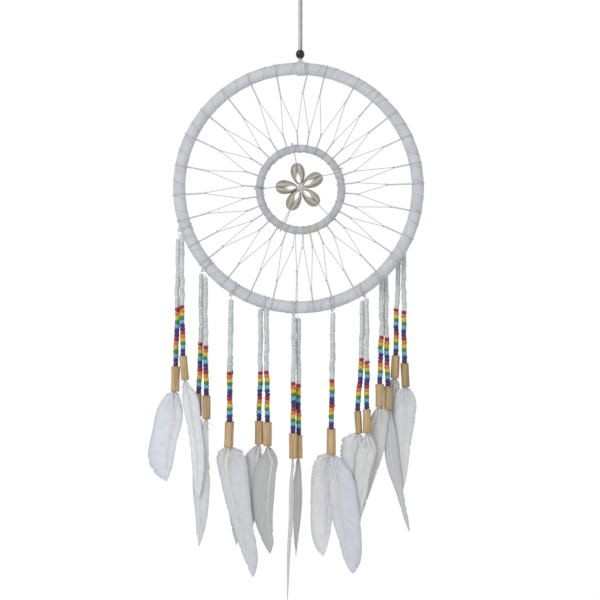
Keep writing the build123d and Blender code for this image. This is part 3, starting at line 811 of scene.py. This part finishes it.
legs, knots, turns, split_spots = [], [], [], []
hoop_centre, inner_centre = Vector((HOOP_X, 0, HOOP_Z)), Vector((INNER_X, 0, INNER_Z))
for points, _ in solids_of("web_thread"):
    middle = points.mean(axis=0)
    spread = np.linalg.norm(points[:, [0, 2]] - (HOOP_X, HOOP_Z), axis=1)
    if spread.max() - spread.min() > 25 * MM:
        order = np.argsort(-spread)
        groups = np.split(order, np.flatnonzero(-np.diff(spread[order]) > 4 * MM) + 1)
        corners = [Vector(points[g].mean(axis=0)) for g in groups]
        corners[0] += (corners[0] - corners[1]).normalized() * 1.2 * MM
        corners[-1] += (corners[-1] - corners[-2]).normalized() * 1.2 * MM
        legs.append(corners)
        for corner in corners[1:-1]:
            if all((corner - spot).length > 2.5 * MM for spot in split_spots):
                split_spots.append(corner)
    else:
        inner = abs(Vector(middle - np.array(inner_centre)).length - INNER_RADIUS) < 2 * MM
        x, z, ring, rim = ((INNER_X, INNER_Z, INNER_RADIUS, INNER_RIM) if inner
                           else (HOOP_X, HOOP_Z, HOOP_RADIUS, HOOP_RIM))
        lean = 0.5 * MM * math.sin(middle[0] * 900)
        turns.append(turn_round_rim(degrees_round(middle, x, z), x, z, ring, rim, lean))
for spot in split_spots:
    outward = (spot - hoop_centre).normalized()
    knots.append(coil(spot, outward, 0.6 * MM, 1.3, 0.9 * MM))
    pair = [(leg, i) for leg in legs for i in range(1, len(leg) - 1) if (leg[i] - spot).length < 3.5 * MM]
    stems = [(leg, min((i - 1, i + 1), key=lambda j: (leg[j] - leg[i]).length)) for leg, i in pair]
    for corners in (pair, stems):
        shared = sum((leg[i] for leg, i in corners), Vector()) / max(1, len(corners))
        for leg, i in corners:
            leg[i] = leg[i].lerp(shared, 0.4)
fit(thread("web_legs", legs + knots, WEB_THREAD, THREAD), "hoop", "waxed_thread", "web_thread")
fit(thread("web_rim_turns", turns, WEB_THREAD, THREAD, True), "hoop", "waxed_thread", "web_thread")


# The cowrie flower
SHELL_START = 2.4 * MM


def cut_cowrie(angle, length, width, depth):
    """A cut cowrie: an egg-shaped ring of shell round a toothed slit, open at the back."""
    around, rise = 150, 16
    wall = 1.1 * MM
    start = on_ring(angle, SHELL_START, FLOWER_X, FLOWER_Z)
    along = on_ring(angle, 1.0, 0, 0)
    side = Vector((along.z, 0, -along.x))
    rings, shoulders = [], []
    for i in range(around):
        a = i * math.tau / around
        up = 0.5 - 0.5 * math.cos(a)
        hand = math.sin(a)
        outer_up = length * (0.5 - 0.5 * math.cos(a))
        outer_side = width / 2 * math.copysign(abs(hand) ** 0.92, hand) * (0.66 + 0.72 * up - 0.3 * up * up)
        slit_up = length * (0.5 - 0.44 * math.cos(a))
        gape = 0.16 * MM + 1.55 * MM * math.exp(-((up - 0.27) / 0.2) ** 2)
        slit_side = gape * math.copysign(min(1.0, abs(hand) * 2.2), hand) - 0.5 * MM * math.sin(up * 3)
        tooth = 0.5 + 0.5 * math.cos(a * 34)
        outline = []
        for j in range(rise * 2):
            front = j < rise
            k = j / (rise - 1) if front else (rise * 2 - 1 - j) / (rise - 1)
            bulge = math.sin(math.pi * min(1.0, 0.14 + 0.86 * k)) ** 0.55 if k < 0.999 else 0.0
            height = depth * bulge * (0.6 + 0.4 * math.sin(math.pi * up) ** 0.7)
            inward = 0.0
            if k < 0.3:
                inward = (0.3 - k) / 0.3
                height -= depth * 0.42 * inward ** 2
            if not front:
                height = max(height - wall, 0.0)
            cut = 0.38 * MM * tooth * inward * abs(hand)
            s = slit_side + (outer_side - slit_side) * k ** 1.1
            s -= math.copysign(cut, hand) if abs(hand) > 0.05 else 0.0
            u = slit_up + (outer_up - slit_up) * k
            if not front and 0.0 < k:
                s -= math.copysign(min(wall, abs(s) * 0.3), s) * k
                u += (length / 2 - u) * 0.12 * k
            outline.append(start + along * u + side * s + FRONT * height)
            shoulders.append(k if front else 0.2)
        rings.append(outline)
    return closed_rings(rings, True), shoulders


shell_shapes, shell_marks, shell_tips = [], [], []
for points, _ in solids_of("cowrie_shells"):
    middle = Vector(points.mean(axis=0))
    flat = Vector((middle.x - FLOWER_X, 0, middle.z - FLOWER_Z)).normalized()
    lengthwise = (points - np.array((FLOWER_X, 0, FLOWER_Z))) @ np.array(flat)
    sideways = (points - np.array(middle)) @ np.array((flat.z, 0, -flat.x))
    shape, marks = cut_cowrie(degrees_round(middle, FLOWER_X, FLOWER_Z), lengthwise.max() - SHELL_START,
                              sideways.max() - sideways.min(), -points[:, 1].min())
    shell_shapes.append(shape)
    shell_marks += marks
    shell_tips.append(on_ring(degrees_round(middle, FLOWER_X, FLOWER_Z), lengthwise.max() - 1.4 * MM,
                              FLOWER_X, FLOWER_Z, -1.2 * MM))


fit(solid("cut_cowries", joined(shell_shapes), COWRIE, 65, shoulder=shell_marks), "hoop",
    "cowrie_shell", "cowrie_shells")


def wound_hub():
    """A ball of thread wound this way and that over the shells' feet."""
    centre = Vector((FLOWER_X, (hub_low[1] + hub_high[1]) / 2, FLOWER_Z))
    half = (hub_high[1] - hub_low[1]) / 2
    points = []
    for i in range(620):
        t = i / 620 * math.tau
        a, b = t * 17, math.pi / 2 + 1.25 * math.sin(t * 4.3)
        points.append(centre + Vector((math.sin(b) * math.cos(a) * (HUB_RADIUS - 0.4 * MM),
                                       math.cos(b) * (half - 0.4 * MM),
                                       math.sin(b) * math.sin(a) * (HUB_RADIUS - 0.4 * MM))))
    return points


hub_middle = (hub_low[1] + hub_high[1]) / 2
hub_half = (hub_high[1] - hub_low[1]) / 2 - 0.6 * MM
hub_ball = [((HUB_RADIUS - 0.7 * MM) * math.sin(math.pi * i / 12) + 0.02 * MM, i / 12) for i in range(13)]
ball = revolved([(0.01 * MM, 0.02), *hub_ball[1:-1], (0.01 * MM, 0.98)],
                (FLOWER_X, hub_middle - hub_half, FLOWER_Z), (FLOWER_X, hub_middle + hub_half, FLOWER_Z), 20)
fit(solid("flower_hub_filling", ball, STRAND_THREAD), "hoop", "waxed_thread", "flower_hub")
fit(thread("flower_hub_winding", [wound_hub()], STRAND_THREAD, 0.45 * MM, step=0.5 * MM), "hoop",
    "waxed_thread", "flower_hub")

spokes, rim_ties, ends = [], [], []
for points, _ in solids_of("flower_threads"):
    reach = np.linalg.norm(points[:, [0, 2]] - (INNER_X, INNER_Z), axis=1)
    far = Vector(points[reach > reach.max() - 2 * MM].mean(axis=0))
    angle = degrees_round(far, INNER_X, INNER_Z)
    at_rim = on_ring(angle, INNER_RADIUS - INNER_RIM - THREAD, INNER_X, INNER_Z, far.y)
    tip = min(shell_tips, key=lambda spot: (spot - at_rim).length)
    spokes.append([tip, at_rim])
    if 190 < angle < 230:
        doubled = Vector((1.7 * MM, 0, -0.7 * MM))
        spokes.append([tip + doubled * 0.4, at_rim + doubled])
    rim_ties.append((angle, turn_round_rim(angle + 0.5, INNER_X, INNER_Z, INNER_RADIUS, INNER_RIM, 0.9 * MM)))
    foot = on_ring(angle - 1.5, INNER_RADIUS + INNER_RIM + THREAD, INNER_X, INNER_Z, -1.2 * MM)
    stub = (foot - inner_centre).normalized() * 1.2 * MM + Vector((0, -0.4 * MM, 0.3 * MM))
    ends.append([foot - stub * 0.3, foot + stub * 0.4, foot + stub])
fit(thread("flower_spokes", spokes, WEB_THREAD, SPOKE_THREAD), "hoop", "waxed_thread", "flower_threads")
for name, finish, chosen in (("flower_spoke_ties", WEB_THREAD, [t for a, t in rim_ties if not 255 < a < 285]),
                             ("flower_left_tie", TAN_THREAD, [t for a, t in rim_ties if 255 < a < 285])):
    fit(thread(name, chosen, finish, SPOKE_THREAD, True), "hoop", "waxed_thread", "flower_threads")
fit(thread("singed_spoke_ends", ends, SINGED, 0.55 * MM, step=0.4 * MM, twist=1.6 * MM), "hoop",
    "waxed_thread", "flower_threads")

# Tassel ties: two turns each that cross on the rim's front, and a knot below
ties, tie_knots = [], []
for points, _ in solids_of("tassel_ties"):
    angle = degrees_round(points.mean(axis=0), HOOP_X, HOOP_Z)
    for slant in (-1.9 * MM, 1.6 * MM):
        ties.append(turn_round_rim(angle, HOOP_X, HOOP_Z, HOOP_RADIUS, HOOP_RIM, slant))
    spot = on_ring(angle, HOOP_RADIUS + HOOP_RIM + 1.2 * MM, HOOP_X, HOOP_Z)
    tie_knots.append(coil(spot, Vector((0, 0, -1)), 0.7 * MM, 3, 1.6 * MM))
fit(thread("tassel_tie_turns", ties, WEB_THREAD, THREAD, True), "hoop", "waxed_thread", "tassel_ties")
fit(thread("tassel_tie_knots", tie_knots, WEB_THREAD, THREAD), "hoop", "waxed_thread", "tassel_ties")


# The tassels
# Beads: the strand's white, how many coloured ones end it, and white ones added above the first by strand
WHITE, COLOURED_BEADS = "e1e5e4", 14
WHITE_GIRTH, COLOURED_GIRTH, LONGEST_BEAD = 2.15 * MM, 2.3 * MM, 4.5 * MM
TOP_BEADS = {"1a": 1, "1b": 2, "2a": 1, "2b": 1, "3f": 2, "3r": 2, "4a": 1, "4b": 1}
RAINBOW = ["a8283c", "e8862c", "e2cf2a", "4f8b4a", "6fc0e6", "2b3a7c", "57246f"]


def unit_bead():
    """A seed bead one metre in radius and height, about Z, for the strands to scale."""
    made = solid("seed_bead", revolved(round_bead_profile(1.0, 0.3, 0.48, 8), (0, 0, 0.5), (0, 0, -0.5), 12),
                 BEAD_GLASS)
    made.hide_render = True
    return made


SEED_BEAD = unit_bead()

# Share of the width where each quill runs, its radius in millimetres, and the vane's colour
FEATHER_LOOKS = {
    "1a": (0.72, 0.55, "ebeff5"), "1b": (0.40, 0.60, "f1f4f7"), "2a": (0.50, 0.45, "d4d3cd"),
    "2b": (0.38, 0.60, "e5e7e8"), "3f": (0.30, 1.05, "e0e2e4"), "3r": (0.50, 0.60, "d6d8da"),
    "4a": (0.70, 0.60, "d8d9d9"), "4b": (0.74, 0.75, "c5c6c2"), "5a": (0.50, 0.60, "dadada"),
    "5b": (0.50, 0.55, "cfcfcb"), "6f": (0.28, 0.70, "e0e3ea"), "6r": (0.75, 0.60, "efefef"),
    "7a": (0.50, 0.60, "eaecef"), "7b": (0.55, 0.65, "e4e5e4"), "8a": (0.50, 0.65, "deddda"),
    "8b": (0.45, 0.50, "cfd1d3"), "9a": (0.50, 0.55, "dddfe2"), "9b": (0.55, 0.60, "e4e5e7"),
}
# Degrees that a feather is turned about its own length
FEATHER_TURNS = {"5a": 75.0, "5b": -62.0}
# How brown the darker tubes are, from 0 to 1
TUBE_BROWN = {"2a": 0.3, "2b": 0.18, "4a": 0.12, "7a": 0.22, "8a": 0.12, "8b": 0.2, "9a": 0.12, "9b": 0.36}
# Space between barbs, and how far the vane's edge bends back
BARB_PITCH, CAMBER = 0.8 * MM, 1.2 * MM


def crossings(points, triangles, z):
    """The least and greatest x of a solid at a height."""
    ends = np.concatenate([triangles[:, [0, 1]], triangles[:, [1, 2]], triangles[:, [2, 0]]])
    first, second = points[ends[:, 0]], points[ends[:, 1]]
    cut = (first[:, 2] - z) * (second[:, 2] - z) < 0
    first, second = first[cut], second[cut]
    x = first[:, 0] + (second[:, 0] - first[:, 0]) * (z - first[:, 2]) / (second[:, 2] - first[:, 2])
    return x.min(), x.max()


class Feather:
    """A feather's outline and quill line, from its CAD plate laid flat in the XZ plane."""

    def __init__(self, strand, plate, tube_end):
        points, triangles = plate
        self.look = FEATHER_LOOKS[strand]
        self.chance = random.Random(strand)
        self.root = Vector(tube_end)
        tip = Vector(points[points[:, 2] < points[:, 2].min() + 0.3 * MM].mean(axis=0))
        axis = Vector((tip.x - self.root.x, 0, tip.z - self.root.z)).normalized()
        turn = Matrix.Rotation(math.radians(FEATHER_TURNS.get(strand, 0.0)), 4, axis)
        place = Matrix.Translation(Vector((self.root.x, self.root.y, self.root.z)))
        self.placed = place @ turn @ place.inverted() @ Matrix.Translation((0, self.root.y, 0))
        back = np.array(self.placed.inverted())
        flat = points @ back[:3, :3].T + back[:3, 3]
        self.tip = self.placed.inverted() @ tip
        self.heights = np.linspace(self.root.z - 0.2 * MM, self.tip.z + 0.3 * MM, 90)
        edges = np.array([crossings(flat, triangles, z) for z in self.heights])
        self.low, self.high = edges[:, 0], edges[:, 1]
        share = self.look[0]
        way = (self.heights[0] - self.heights) / (self.heights[0] - self.heights[-1])
        ease = np.clip(way / 0.16, 0, 1)
        ease = ease * ease * (3 - 2 * ease)
        middle = self.low + (self.high - self.low) * share
        middle = np.convolve(np.pad(middle, 6, "edge"), np.ones(13) / 13, "valid")
        self.quill = self.root.x * (1 - ease) + middle * ease
        near_tip = np.clip((way - 0.85) / 0.15, 0, 1)
        self.quill = self.quill * (1 - near_tip) + (self.low + self.high) / 2 * near_tip

    def at(self, z, values):
        return float(np.interp(-z, -self.heights, values))

    def ends(self, side, count):
        """Where each barb leaves the quill and where it meets the vane's edge, from the tube to the tip."""
        edge = self.low if side < 0 else self.high
        top, low = self.heights[0], self.heights[-1]
        stations = np.linspace(top, low + 1.2 * MM, count)
        half = np.array([abs(self.at(z, edge) - self.at(z, self.quill)) for z in stations])
        drop = np.minimum(half * 1.9 + 0.4 * MM, (stations - low) * 0.85)
        reached = np.maximum(np.minimum.accumulate(stations - drop), low)
        return ([Vector((self.at(z, self.quill), 0, z)) for z in stations],
                [Vector((self.at(z, edge), 0, z)) for z in reached])

    def barb(self, start, end, bow):
        """A barb that leaves the quill steeply and curves towards the tip."""
        middle = (start + end) / 2 + Vector((0, 0, bow * (end - start).length))
        middle.x += (end.x - start.x) * bow * 0.6
        count = 8 if (end - start).length > 8 * MM else 5
        shares = [i / (count - 1) for i in range(count)]
        return [start * (1 - t) ** 2 + middle * 2 * t * (1 - t) + end * t * t for t in shares]

    def routes(self):
        """Every barb's route with its half width at root and end, and its lift at root and end."""
        found = []
        length = self.heights[0] - self.heights[-1]
        count = int(length / BARB_PITCH)
        for side in (-1, 1):
            starts, ends = self.ends(side, count)
            splits = [(self.chance.randrange(14, count - 8), self.chance.uniform(0.5, 1.3)) for _ in range(3)]
            for i, (start, end) in enumerate(zip(starts, ends)):
                spacing = (ends[min(i + 1, count - 1)] - ends[max(i - 1, 0)]).length / 2
                along = (end - start).normalized()
                end = end + along * self.chance.uniform(-0.25, 0.1) * MM
                for split, size in splits:
                    gap = i - split
                    if abs(gap) < 6:
                        nearness = 1 - abs(gap) / 6
                        end = end + Vector((0, 0, -math.copysign(size * MM, gap + 0.5) * nearness))
                        end = end - along * 0.8 * size * MM * nearness
                lift = self.chance.gauss(0, 0.012) * MM
                wide = max(0.5 * BARB_PITCH, spacing * 0.75)
                found.append((self.barb(start, end, 0.13), (0.8 * BARB_PITCH, wide), (lift, lift)))
            for _ in range(16):
                i = self.chance.randrange(0, max(3, count // 7))
                lean = Vector((side * self.chance.uniform(0.2, 1.1), 0, -self.chance.uniform(0.3, 1.0)))
                end = starts[i] + lean * self.chance.uniform(3, 7) * MM
                found.append((self.barb(starts[i], end, self.chance.uniform(-0.1, 0.15)),
                              (0.16 * MM, 0.08 * MM), (0.0, self.chance.uniform(-1.3, 1.3) * MM)))
        return found


def vane(name, feather):
    """The barbs of both vanes, bent back from the quill and put in place."""
    routes, widths, lifts, outs, streaks = [], [], [], [], []
    for number, (route, (wide_root, wide_end), (low_lift, high_lift)) in enumerate(feather.routes()):
        share = np.linspace(0, 1, len(route))
        tone = noise.noise(Vector((number * 0.23, feather.root.x * 90, 0))) + 0.35 * math.sin(number * 2.4)
        streaks += [max(0.0, tone)] * len(route)
        routes.append(route)
        widths += list((wide_root + (wide_end - wide_root) * share) * np.interp(share, (0.85, 1), (1, 0.6)))
        lifts += list(low_lift + (high_lift - low_lift) * share)
        outs += list(share)
    made = grown(name, routes, BARB_TREE, {"Flatness": 0.05, "Material": VANE}, width=widths, lift=lifts,
                 outward=outs, streak=streaks)
    mesh = made.data
    points = points_of(mesh)
    quill = np.interp(-points[:, 2], -feather.heights, feather.quill)
    span = (feather.high - feather.low).max()
    bend = np.clip((points[:, 0] - quill) / (span * 0.7), -1, 1) ** 2
    ripple = np.sin(points[:, 2] * 95 + feather.root.x * 400) * 0.5 * MM
    across, down = points[:, 0] - feather.root.x, feather.root.z - points[:, 2]
    fold = np.sin(np.arctan2(across, down + 2 * MM) * 17 + feather.root.x * 900)
    fold = fold * np.clip(1 - np.hypot(across, down) / (24 * MM), 0, 1)
    points[:, 1] += CAMBER * bend + ripple * np.sqrt(bend) + 0.8 * MM * fold
    share = np.empty(len(mesh.vertices))
    mesh.attributes["outward"].data.foreach_get("value", share)
    streaks = np.empty(len(mesh.vertices))
    mesh.attributes["streak"].data.foreach_get("value", streaks)
    # Painted shade in the creases near the tube, plus greyer edges and greyer streaks along some barbs
    folded = 0.28 * np.clip(fold, 0, 1) + 0.3 * np.interp(share, (0.8, 1), (0, 1)) + 0.16 * streaks
    mesh.attributes.new("folded", "FLOAT", "POINT").data.foreach_set("value", folded)
    turn = np.array(feather.placed)
    points = points @ turn[:3, :3].T + turn[:3, 3]
    mesh.vertices.foreach_set("co", points.ravel())
    tone = linear(feather.look[2])
    mesh.attributes.new("tint", "FLOAT_COLOR", "POINT").data.foreach_set(
        "color", np.tile(np.asarray(tone, np.float32), len(mesh.vertices)))
    mesh.update()
    return made


def quill_shape(feather, tube_top):
    """The tapered shaft, from inside the tube to the feather's tip."""
    radius = feather.look[1] * MM
    inside = feather.root + (Vector(tube_top) - feather.root).normalized() * 4 * MM
    points, scale = [inside], [1.0]
    for z in np.linspace(feather.heights[0], feather.heights[-1] + 1.5 * MM, 40):
        way = (feather.heights[0] - z) / (feather.heights[0] - feather.heights[-1])
        points.append(feather.placed @ Vector((feather.at(z, feather.quill), -0.12 * MM, z)))
        scale.append(max(0.16, (1 - way) ** 0.8))
    return swept(points, circle(radius, 8), scale)


def tube_shape(top, bottom, radius, tone):
    """A cut bamboo tube, open at both ends, not quite round or straight, and how dark each point is, with
    painted shade in the bore.
    """
    seed = top.x * 1000
    bore = 0.52
    outer = [(1.0, s) for s in np.linspace(0.015, 0.985, 12)]
    profile = [(bore, 0.0), (0.95, 0.0), *outer, (0.95, 1.0), (bore, 1.0)]
    profile += [(bore, s) for s in np.linspace(0.92, 0.08, 6)]
    # The bore gets the full painted shade; the outside takes the tube's brown tone, darker near the cut ends
    marks = [1 if r == bore else tone + (0.25 if min(s, 1 - s) < 0.02 else 0) for r, s in profile]

    def wobble(a, share):
        return 0.025 * math.sin(a * 2 + seed) + 0.02 * math.sin(share * 5 + seed * 2)

    return revolved([(r * radius, s) for r, s in profile], top, bottom, 28, wobble), marks * 28


def strands_of(body):
    """Names of the strands that hang as one body, in the order front to back."""
    return {"3": ["3f", "3r"], "5": ["5a", "5b"], "6": ["6f", "6r"]}.get(body, [body])


def sorted_by_strand(solids, strands):
    """The solids of each strand: the one in front has the lower y."""
    if len(strands) == 1:
        return [solids]
    return [[s for s in solids if s[0][:, 1].mean() < 0], [s for s in solids if s[0][:, 1].mean() > 0]]


def string_beads(body, strands):
    """The strands' beads, wandering a little about their line, and the thread through them."""
    spots, aims, sizes, tints, routes = [], [], [], [], []
    for number, solids in enumerate(sorted_by_strand(solids_of(f"tassel_{body}_beads"), strands)):
        strand = strands[number]
        chance = random.Random("beads " + strand)
        beads = [p for p, _ in solids if np.ptp(p[:, 2]) < LONGEST_BEAD]
        cores = [p for p, _ in solids if np.ptp(p[:, 2]) >= LONGEST_BEAD]
        beads.sort(key=lambda p: -p[:, 2].mean())
        centres = [Vector(p.mean(axis=0)) for p in beads]
        count = len(centres)
        phase, other = chance.uniform(0, 6), chance.uniform(0, 6)
        drift = []
        for i, centre in enumerate(centres):
            ease = math.sin(math.pi * (i + 0.5) / count) ** 0.5
            sway = 0.32 * math.sin(i * 0.42 + phase) + 0.2 * math.sin(i * 1.3 + other) + chance.gauss(0, 0.1)
            drift.append(centre + Vector((sway, 0.5 * sway * math.cos(i), 0)) * ease * MM)
        for _ in range(TOP_BEADS.get(strand, 0)):
            drift.insert(0, drift[0] * 2 - drift[1])
        count = len(drift)
        for i, spot in enumerate(drift):
            coloured = i >= count - COLOURED_BEADS
            before, after = drift[max(0, i - 1)], drift[min(count - 1, i + 1)]
            aim = (before - after).normalized()
            gap = (before - after).length / (2 if 0 < i < count - 1 else 1)
            girth = COLOURED_GIRTH if coloured else WHITE_GIRTH
            place = (i - (count - COLOURED_BEADS)) % len(RAINBOW)
            tint = Vector(linear(RAINBOW[place] if coloured else WHITE)[:3]) * chance.uniform(0.9, 1.06)
            spots.append(spot)
            aims.append(aim)
            sizes.append((girth, girth, gap * (1.05 if coloured else 1.14)))
            tints.append((*tint, 1.0))
        top = max(p[:, 2].max() for p in cores)
        low = min(p[:, 2].min() for p in cores)
        start = Vector(np.concatenate([p[p[:, 2] > top - 0.8 * MM] for p in cores]).mean(axis=0))
        end = Vector(np.concatenate([p[p[:, 2] < low + 0.8 * MM] for p in cores]).mean(axis=0))
        routes.append([start, *drift, end])
    beads = grown(f"tassel_{body}_seed_beads", [[p] for p in spots], BEAD_TREE,
                  {"Bead": SEED_BEAD, "Tilt": (0.11, 0.11, 3.1), "Uneven": (0.05, 0.05, 0.05),
                   "Seed": len(body) * 31 + ord(body[0]), "Material": BEAD_GLASS},
                  aim=aims, size=sizes, tint=tints)
    string = thread(f"tassel_{body}_string", routes, STRAND_THREAD, 0.36 * MM, step=0.9 * MM)
    return beads, string


def tube_ends(points):
    """Top and bottom of a tube's axis and its radius."""
    middle = (points[:, 2].max() + points[:, 2].min()) / 2
    top = Vector(points[points[:, 2] > middle].mean(axis=0))
    bottom = Vector(points[points[:, 2] < middle].mean(axis=0))
    axis = np.array((bottom - top).normalized())
    off = points - np.array(top)
    off = off - np.outer(off @ axis, axis)
    return top, bottom, float(np.linalg.norm(off, axis=1).max())


def hang_tassel(body):
    """Beads, string, bamboo tubes, quills and vanes of one tassel."""
    strands, rides = strands_of(body), f"tassel_{body}"
    beads, string = string_beads(body, strands)
    fit(beads, rides, "seed_beads", f"tassel_{body}_beads")
    fit(string, rides, "waxed_thread", f"tassel_{body}_beads")
    tubes = [s[0] for s in sorted_by_strand(solids_of(f"tassel_{body}_tube"), strands)]
    plates = [s[0] for s in sorted_by_strand(solids_of(f"tassel_{body}_feather"), strands)]
    shapes, marks = [], []
    for strand, (points, _), plate in zip(strands, tubes, plates):
        top, bottom, radius = tube_ends(points)
        shape, brown = tube_shape(top, bottom, radius, TUBE_BROWN.get(strand, 0.03))
        shapes.append(shape)
        marks += brown
        feather = Feather(strand, plate, bottom)
        fit(vane(f"feather_{strand}_vane", feather), rides, "feather", f"tassel_{body}_feather")
        fit(solid(f"feather_{strand}_quill", quill_shape(feather, top), QUILL), rides, "feather",
            f"tassel_{body}_feather")
    fit(solid(f"tassel_{body}_bamboo", joined(shapes), BAMBOO, 35, brown=marks), rides, "bamboo",
        f"tassel_{body}_tube")


for body in sorted(b for b in frame["bodies"] if b.startswith("tassel_")):
    hang_tassel(body.removeprefix("tassel_"))


# A plain floor well below the feathers, white surroundings and soft light
FLOOR_DROP, FLOOR_SIZE = 0.38, 1.5
floor_z = cad_box[0][2] - FLOOR_DROP
plain, floor_tree, floor_shader, floor_place = material("pale_studio_floor", Roughness=0.8)
floor_cloud = speckle(floor_tree, floor_place, 0.2)
layered(floor_tree, floor_shader, "f2f2f2", [(floor_cloud, "f5f5f5")], floor_cloud, 0.1 * MM, 0.2)
floor_mesh = bpy.data.meshes.new("floor")
floor_corners = [(x * FLOOR_SIZE, y * FLOOR_SIZE, floor_z) for x, y in ((-1, -1), (1, -1), (1, 1), (-1, 1))]
floor_mesh.from_pydata(floor_corners, [], [(0, 1, 2, 3)])
floor_mesh.materials.append(plain)
floor = linked("floor", floor_mesh)

world = bpy.data.worlds.new("white_studio")
bpy.context.scene.world = world
world.use_nodes = True
sky = world.node_tree
sky.nodes.clear()
seen = add(sky, "ShaderNodeLightPath").outputs["Is Camera Ray"]
strength = add(sky, "ShaderNodeMapRange", {0: seen, 3: 0.58, 4: 1.0}).outputs[0]
tone = add(sky, "ShaderNodeMix", {0: seen, 6: linear("f3f5fa"), 7: linear("ffffff")}, data_type="RGBA")
glow = add(sky, "ShaderNodeBackground", {"Color": tone.outputs[2], "Strength": strength}).outputs[0]
add(sky, "ShaderNodeOutputWorld", {0: glow})
bpy.context.scene.view_settings.view_transform = "Standard"


def soft_light(name, spot, power, size):
    """A square soft box aimed at the middle of the object."""
    data = bpy.data.lights.new(name, "AREA")
    data.energy = power
    data.size = size
    lamp = linked(name, data)
    lamp.location = spot
    aim = Vector((0, 0, CAMERA_Z)) - Vector(spot)
    lamp.rotation_euler = aim.to_track_quat("-Z", "Y").to_euler()


soft_light("key_light", (-1.3, -1.7, 0.7), 17, 0.9)
soft_light("fill_light", (1.6, -1.4, -0.1), 4, 1.2)
soft_light("back_light", (0.6, 1.9, 0.5), 6, 1.2)
